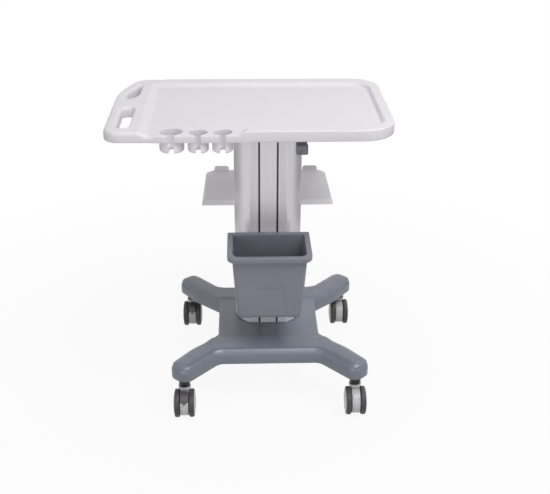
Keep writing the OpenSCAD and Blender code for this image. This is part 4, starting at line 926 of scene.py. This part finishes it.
leg = np.array([math.cos(LEG_ANGLE), math.sin(LEG_ANGLE)])
beside = np.array([leg[1], -leg[0]])
outer_side, inner_side = STEM + beside * LEG_HALF, STEM - beside * LEG_HALF
waist_corner = outer_side + leg * (WAIST_HALF - outer_side[0]) / leg[0]
beam_corner = inner_side + leg * (BEAM_HALF - inner_side[1]) / leg[1]
leg_tip = outer_side + leg * LEG_END
leg_middle = (waist_corner + leg_tip) / 2 + beside * LEG_BULGE
one_leg = np.array([
    (*waist_corner, WAIST_R), (*leg_middle, LEG_BULGE_R), (*leg_tip, LEG_TIP_R),
    (*(inner_side + leg * LEG_END), LEG_TIP_R), (*beam_corner, BEAM_R)])
base_edge = rounded(np.vstack([one_leg, one_leg[::-1] * [-1, 1, 1], one_leg * [-1, -1, 1],
                               one_leg[::-1] * [1, -1, 1]]))
print("base edge has", len(base_edge), "points")

# %% Height of the base
WAIST_EDGE, BEAM_EDGE, LEG_EDGE, BEVEL_POWER = 5.0, 13.0, 23.0, 1.5
TO_LEG, TO_BEAM = (130.0, 190.0), (120.0, 150.0)
RECESS_HALF, RECESS_DEPTH, FRONT_STEP, REAR_STEP = 113.0, 3.0, 2.5, 14.0
COLUMN_FOOT, COLUMN_STEP = rounded(box_corners(-66.0, 66.0, -38.0, 102.0, 30.0)), 6.0


def edge_drop(points, depth):
    """How far the base's edge lies below its top: a small quarter-round along the waist, a large one on the
    legs, and on the beams a bevel, which falls as a power of the distance short of its width."""
    x, y = np.abs(points).T
    on_leg, on_beam = rise(x, *TO_LEG), rise(y, *TO_BEAM)
    size = blend(blend(WAIST_EDGE, BEAM_EDGE, on_beam), LEG_EDGE, on_leg)
    bevel = size * (1 - np.minimum(depth / size, 1)) ** BEVEL_POWER
    return blend(rounding(depth, size), bevel, on_beam * (1 - on_leg))


def base_height(points, depth):
    """Height of the base: flat, less a low step over the waist but not under the column, less its edge."""
    y = points[:, 1]
    on_waist = ease((RECESS_HALF - np.abs(y)) / np.where(y < 0, FRONT_STEP, REAR_STEP))
    sunk = on_waist * ease(-depth_inside(points, [COLUMN_FOOT]) / COLUMN_STEP)
    return BASE_TOP - RECESS_DEPTH * sunk - edge_drop(points, depth)


print("the waist lies", RECESS_DEPTH, "mm lower than the beams")

# %% Base skin
BASE_FOOT_R, FOOT_BEND, BASE_WALL, BASE_ROOF = 1.5, 0.3, 4.0, 5.0
BASE_STEP, STEP_CLEAR, STEP_REACH, STEP_SPACING = 9.0, 4.0, 190.0, 5.0
BASE_ROWS = np.array([0.3, 1.0, 2.2, 4.0, 6.3, 9.0, 12.5, 17.0, 22.0])
STEP_SHARE = np.array([-0.2, 0.1, 0.35, 0.65, 0.9, 1.2])
FAR = 400.0

step_y = np.concatenate([FRONT_STEP * STEP_SHARE - RECESS_HALF, RECESS_HALF - REAR_STEP * STEP_SHARE])
step_x, step_y = np.meshgrid(np.arange(-STEP_REACH, STEP_REACH + 1, STEP_SPACING), step_y)
step_points = np.column_stack([step_x.ravel(), step_y.ravel()])
step_line = np.array(box_corners(-FAR, FAR, -RECESS_HALF, RECESS_HALF, 0.0))[:, :2]
under_roof = BASE_TOP - RECESS_DEPTH - BASE_ROOF
bent_in = BASE_FOOT_R * FOOT_BEND
inner_edge = moved_in(subdivided(base_edge, EDGE_STEP), BASE_WALL)
patches = [
    filled([base_edge], base_height, BASE_ROWS, BASE_STEP, extra=(step_line, STEP_CLEAR, step_points)),
    wall(base_edge, (BASE_FOOT_R, BASE_UNDER), (bent_in, BASE_UNDER + bent_in),
         (0.0, BASE_UNDER + BASE_FOOT_R), (0.0, base_height)),
    wall(base_edge, (BASE_FOOT_R, BASE_UNDER), (BASE_WALL, BASE_UNDER), (BASE_WALL, under_roof)),
    filled([inner_edge], under_roof, (), FLAT_STEP, edge_step=np.inf)]
patches = [(points + [BASE_X, BASE_Y, 0], faces) for points, faces in patches]
piece("base_shell", patches, "chassis", "slate_plastic", "base_cover")

# %% [markdown]
# ## The casters
#
# Each caster has a dark collar under the leg, a pale housing with a round neck, and two wheels that turn
# beside it. The two casters on the left also have a dark pedal that curves over the housing. The collars come
# first. A collar is turned on an axis, as it would be on a lathe, because a profile says its rounded foot and
# its narrower top in six corners.

# %% Caster places and collars
CASTERS = {"front_left": (-1, -1), "front_right": (1, -1), "rear_left": (-1, 1), "rear_right": (1, 1)}
BRAKED = ("front_left", "rear_left")
WHEEL_R, TRAIL = 37.5, 20.5
COLLAR_R, COLLAR_TOP_R, COLLAR_BORE, COLLAR_FOOT, COLLAR_SEGMENTS = 14.5, 13.3, 6.05, 80.3, 48
COLLAR_EDGE, COLLAR_NARROWS = BASE_UNDER - 9.0, BASE_UNDER - 8.0

stems = {name: np.array([BASE_X + side * STEM[0], BASE_Y + end * STEM[1], 0.0])
         for name, (side, end) in CASTERS.items()}
axles = {name: at + [0.0, -TRAIL, WHEEL_R] for name, at in stems.items()}
collar_profile = rounded([
    (COLLAR_BORE, COLLAR_FOOT, 0.4), (COLLAR_R, COLLAR_FOOT, 4.0), (COLLAR_R, COLLAR_EDGE, 1.5),
    (COLLAR_TOP_R, COLLAR_NARROWS, 0.8), (COLLAR_TOP_R, BASE_UNDER, 0.2), (COLLAR_BORE, BASE_UNDER, 0.2)])
collars = [lathe(collar_profile, at, "z", COLLAR_SEGMENTS) for at in stems.values()]
piece("caster_collar_rings", collars, "chassis", "collar_plastic", "caster_collars")

# %% [markdown]
# ## The wheels
#
# A wheel is a soft dark tyre on a pale hub with a domed face, a ring near its rim and a small cap in the
# middle. Both could be cylinders with grooves cut in, but they are round all the way, so they are turned like
# the collars, and the hub's profile holds its rings. The two wheels of a pair look away from each other.

# %% Tyres and hubs
TYRE_HALF, TYRE_IN_R, TYRE_SIDE_R, TYRE_SHOULDER_R = 6.75, 30.0, 33.4, 36.4
SHOULDER_IN, CROWN_HALF, CROWN_R = 0.6, 1.5, 12.0

half_tyre = np.array([
    (TYRE_IN_R, -TYRE_HALF, 0.6), (TYRE_SIDE_R, -TYRE_HALF, 1.0),
    (TYRE_SHOULDER_R, SHOULDER_IN - TYRE_HALF, 2.6), (WHEEL_R, -CROWN_HALF, CROWN_R)])
tyre_profile = rounded(np.vstack([half_tyre, half_tyre[::-1] * [1, -1, 1]]), side_parts=2)
hub_profile = rounded([
    (0.0, -7.2, 0.06), (18.0, -7.2, 0.8), (29.9, -5.6, 0.6), (29.9, 6.2, 0.5), (27.6, 8.4, 1.4),
    (25.8, 8.6, 0.5), (25.0, 7.9, 0.4), (23.8, 8.2, 0.4), (16.0, 9.8, 6.0), (8.6, 10.3, 0.5), (8.0, 9.5, 0.4),
    (7.0, 9.5, 0.4), (6.4, 10.4, 0.6), (0.0, 10.7, 0.06)], side_parts=2)
wheel_parts = (("tread", tyre_profile, 96, "tyre_rubber", "tyre"),
               ("cap", hub_profile, 72, "hub_plastic", "hub"))

for name, axle in axles.items():
    for wheel in (f"{name}_outer", f"{name}_inner"):
        low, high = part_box(f"{wheel}_tyre")
        middle = (low[0] + high[0]) / 2 / MM
        outward = math.copysign(1.0, middle - axle[0])
        for part, profile, segments, slot, node in wheel_parts:
            ring = lathe(profile * [1, outward], (middle, *axle[1:]), "x", segments)
            piece(f"{wheel}_{part}", [ring], f"{wheel}_wheel", slot, f"{wheel}_{node}")

# %% [markdown]
# ## The caster housings
#
# A housing is a pale moulding between the two wheels, most of a disc with a web up to a round neck. It could
# be an extruded disc with bevels. Here its outline is carried across its width and drawn in at the edges and
# at the two mould lines, so that all of its relief is in one short list.

# %% Housings
HOUSING_R, HOUSING_HALF, NECK_R, NECK_FOOT, NECK_TOP = 33.0, 11.0, 16.0, 76.5, 80.0
NECK_SUNK, NECK_SEGMENTS, CENTRE_R = 3.0, 48, 0.06
GROOVE_R, GROOVE_LOW, GROOVE_TOP, GROOVE_EDGE = NECK_R - 0.7, NECK_TOP - 3.0, NECK_TOP - 2.4, 0.4
WEB_HALF, WEB_FOOT, WEB_HEAD, WEB_R, WEB_TOP_R = NECK_R - 1, WHEEL_R + 8, NECK_FOOT + 1, 14.0, 3.0
DISC_FROM, DISC_TO, DISC_POINTS = 75, 350, 60
HALF_MOULD = np.array([(HOUSING_HALF, 1.8), (10.5, 0.7), (9.4, 0.0), (5.6, 0.0), (5.3, 0.8), (4.5, 0.8),
                       (4.2, 0.0)])

sweep = np.radians(np.linspace(DISC_FROM, DISC_TO, DISC_POINTS))
disc = np.column_stack([-TRAIL + HOUSING_R * np.cos(sweep), WHEEL_R + HOUSING_R * np.sin(sweep)])
web = rounded([(-TRAIL, WHEEL_R, 1.0), (WEB_HALF, WEB_FOOT, WEB_R), (WEB_HALF, WEB_HEAD, WEB_TOP_R),
               (-WEB_HALF, WEB_HEAD, WEB_TOP_R)])[ARC_STEPS + 1:]
side_view = np.vstack([disc, web])
mould_lines = np.vstack([HALF_MOULD * [-1, 1], HALF_MOULD[::-1]])
housing = np.stack([np.column_stack([np.full(len(side_view), across), moved_in(side_view, inset)])
                    for across, inset in mould_lines])
neck_profile = rounded([
    (0.0, NECK_FOOT - NECK_SUNK, CENTRE_R), (NECK_R, NECK_FOOT - NECK_SUNK, 1.0),
    (NECK_R, GROOVE_LOW - GROOVE_EDGE, 0.6), (GROOVE_R, GROOVE_LOW, 0.4), (GROOVE_R, GROOVE_TOP, 0.4),
    (NECK_R, GROOVE_TOP + GROOVE_EDGE, 0.6), (NECK_R, NECK_TOP, 1.2), (0.0, NECK_TOP, CENTRE_R)])

for name, at in stems.items():
    neck = lathe(neck_profile, at, "z", NECK_SEGMENTS)
    piece(f"{name}_fork", [*skin(housing + at), neck], f"{name}_caster", "housing_plastic", f"{name}_housing")

# %% [markdown]
# ## The brake pedals
#
# A pedal is a dark plate that curves over the housing, with a low ridge in its middle and a small nub at its
# front end for the toe. A straight plate could be bent with a modifier. Here its rounded section is carried
# round the axle, which keeps the gap to the housing even.

# %% Pedals
PEDAL_IN, PEDAL_OUT, PEDAL_START, PEDAL_END, PEDAL_SOFT, PEDAL_SIDE = 34.5, 39.5, 34.0, 86.0, 2.0, 0.2
RIDGE, RIDGE_REACH = 0.9, 0.12
NUB_HALF, NUB_START, NUB_END, NUB_SOFT, NUB_IN, NUB_OUT = 2.6, -9.0, 4.0, 1.2, 0.4, 0.8
WAY_SHARE = np.array([0.0, 0.02, 0.06, 0.14, 0.3, 0.4, 0.45, 0.5, 0.55, 0.6, 0.7, 0.86, 0.94, 0.98, 1.0])
DRAWN_IN = np.array([1.0, 0.45, 0.12, 0, 0, 0, 0, 0, 0, 0, 0, 0, 0.12, 0.45, 1.0])
SECTION_PARTS = 4


def arched(at, half_width, inner_r, outer_r, start, end, soft, ridge=0.0):
    """A rounded bar bent round an axle: its section (across, radius) goes from one angle to the other,
    measured from the front, and draws in at both ends. The ridge lifts its outer side in the middle."""
    corners = box_corners(-half_width, half_width, inner_r, outer_r, soft + LEAST_R)
    across, radius = np.stack([rounded(corners, soft * drawn, SECTION_PARTS) for drawn in DRAWN_IN], axis=1).T
    outside = radius > (inner_r + outer_r) / 2
    radius = radius + ridge * ease(1 - np.abs(WAY_SHARE - 0.5) / RIDGE_REACH)[:, None] * outside
    angle = np.radians(start + (end - start) * WAY_SHARE)[:, None]
    return skin(np.stack([across, -radius * np.cos(angle), radius * np.sin(angle)], axis=-1) + at)


for name in BRAKED:
    plate = arched(axles[name], HOUSING_HALF - PEDAL_SIDE, PEDAL_IN, PEDAL_OUT, PEDAL_START, PEDAL_END,
                   PEDAL_SOFT, RIDGE)
    nub = arched(axles[name], NUB_HALF, PEDAL_IN - NUB_IN, PEDAL_OUT - NUB_OUT, PEDAL_START + NUB_START,
                 PEDAL_START + NUB_END, NUB_SOFT)
    piece(f"{name}_treadle", plate + nub, f"{name}_brake", "pedal_plastic", f"{name}_pedal")

# %% [markdown]
# ## The release lever
#
# A dark paddle hangs under the tabletop beside the column, and a finger pulls it up to let the table rise.
# The paddle is a small stack of rounded rectangles with a hollow for the finger, and a flat arm leads back to
# the shaft. A hollow cut with a ball would leave a sharp rim, so a soft mask presses it in.

# %% Lever
LEVER_X, PADDLE_Y0, PADDLE_Y1, PADDLE_LOW, PADDLE_TOP = 126.0, -127.08, -107.08, 685.0, 709.0
PADDLE_HALF, PADDLE_R, PADDLE_LOW_R, PADDLE_TOP_R, PADDLE_SIDE_PARTS = 15.0, 5.0, 3.0, 2.0, 10
SIDE_FROM, SIDE_TO, SIDE_ROWS = PADDLE_LOW + 5, PADDLE_TOP - 4, 9
SCOOP_HALF, SCOOP_RISE, SCOOP_DEPTH, SCOOP_BEHIND = 13.0, 9.0, 2.5, 6.0
LEVER_HALF, ARM_T, ARM_R, ARM_ROWS, ARM_SUNK, ARM_BELOW = 14.0, 10.0, 2.0, 9, 3.0, 1.0
SHAFT = np.array([LEVER_X, 14.9186, 726.0])
HUB_BORE_R, HUB_R, HUB_EDGE_R, HUB_SEGMENTS = 5.1, 10.0, 1.0, 40

paddle_rows = np.vstack([
    quarter(PADDLE_LOW_R, PADDLE_LOW + PADDLE_LOW_R, PADDLE_LOW_R, 270, 180, 5),
    straight(0.0, SIDE_FROM, SIDE_TO, SIDE_ROWS),
    quarter(PADDLE_TOP_R, PADDLE_TOP - PADDLE_TOP_R, PADDLE_TOP_R, 180, 90, 4)])
paddle_plan = box_corners(LEVER_X - PADDLE_HALF, LEVER_X + PADDLE_HALF, PADDLE_Y0, PADDLE_Y1, PADDLE_R)
paddle = np.stack([raised(rounded(paddle_plan, inset, PADDLE_SIDE_PARTS), z) for inset, z in paddle_rows])
x, y, z = np.moveaxis(paddle, -1, 0)
across, upward = (x - LEVER_X) / SCOOP_HALF, (z - (PADDLE_LOW + PADDLE_TOP) / 2) / SCOOP_RISE
y += SCOOP_DEPTH * ease(1 - across ** 2) * ease(1 - upward ** 2) * (y < PADDLE_Y0 + SCOOP_BEHIND)

arm_near = np.array([0.0, PADDLE_Y1 - ARM_SUNK, PADDLE_TOP - ARM_T / 2 - ARM_BELOW])
arm_far = SHAFT * [0, 1, 1]
arm_share = np.linspace(0, 1, ARM_ROWS)[:, None, None]
arm_section = rounded(box_corners(LEVER_X - LEVER_HALF, LEVER_X + LEVER_HALF, -ARM_T / 2, ARM_T / 2, ARM_R))
arm_ring = np.insert(arm_section, 1, 0.0, axis=1)
arm = arm_ring + arm_near + (arm_far - arm_near) * arm_share
hub_profile = rounded(box_corners(HUB_BORE_R, HUB_R, -LEVER_HALF, LEVER_HALF, HUB_EDGE_R))
hub = lathe(hub_profile, SHAFT, "x", HUB_SEGMENTS)
piece("release_paddle", [*skin(paddle), *skin(arm), hub], "lever", "lever_plastic", "release_lever")
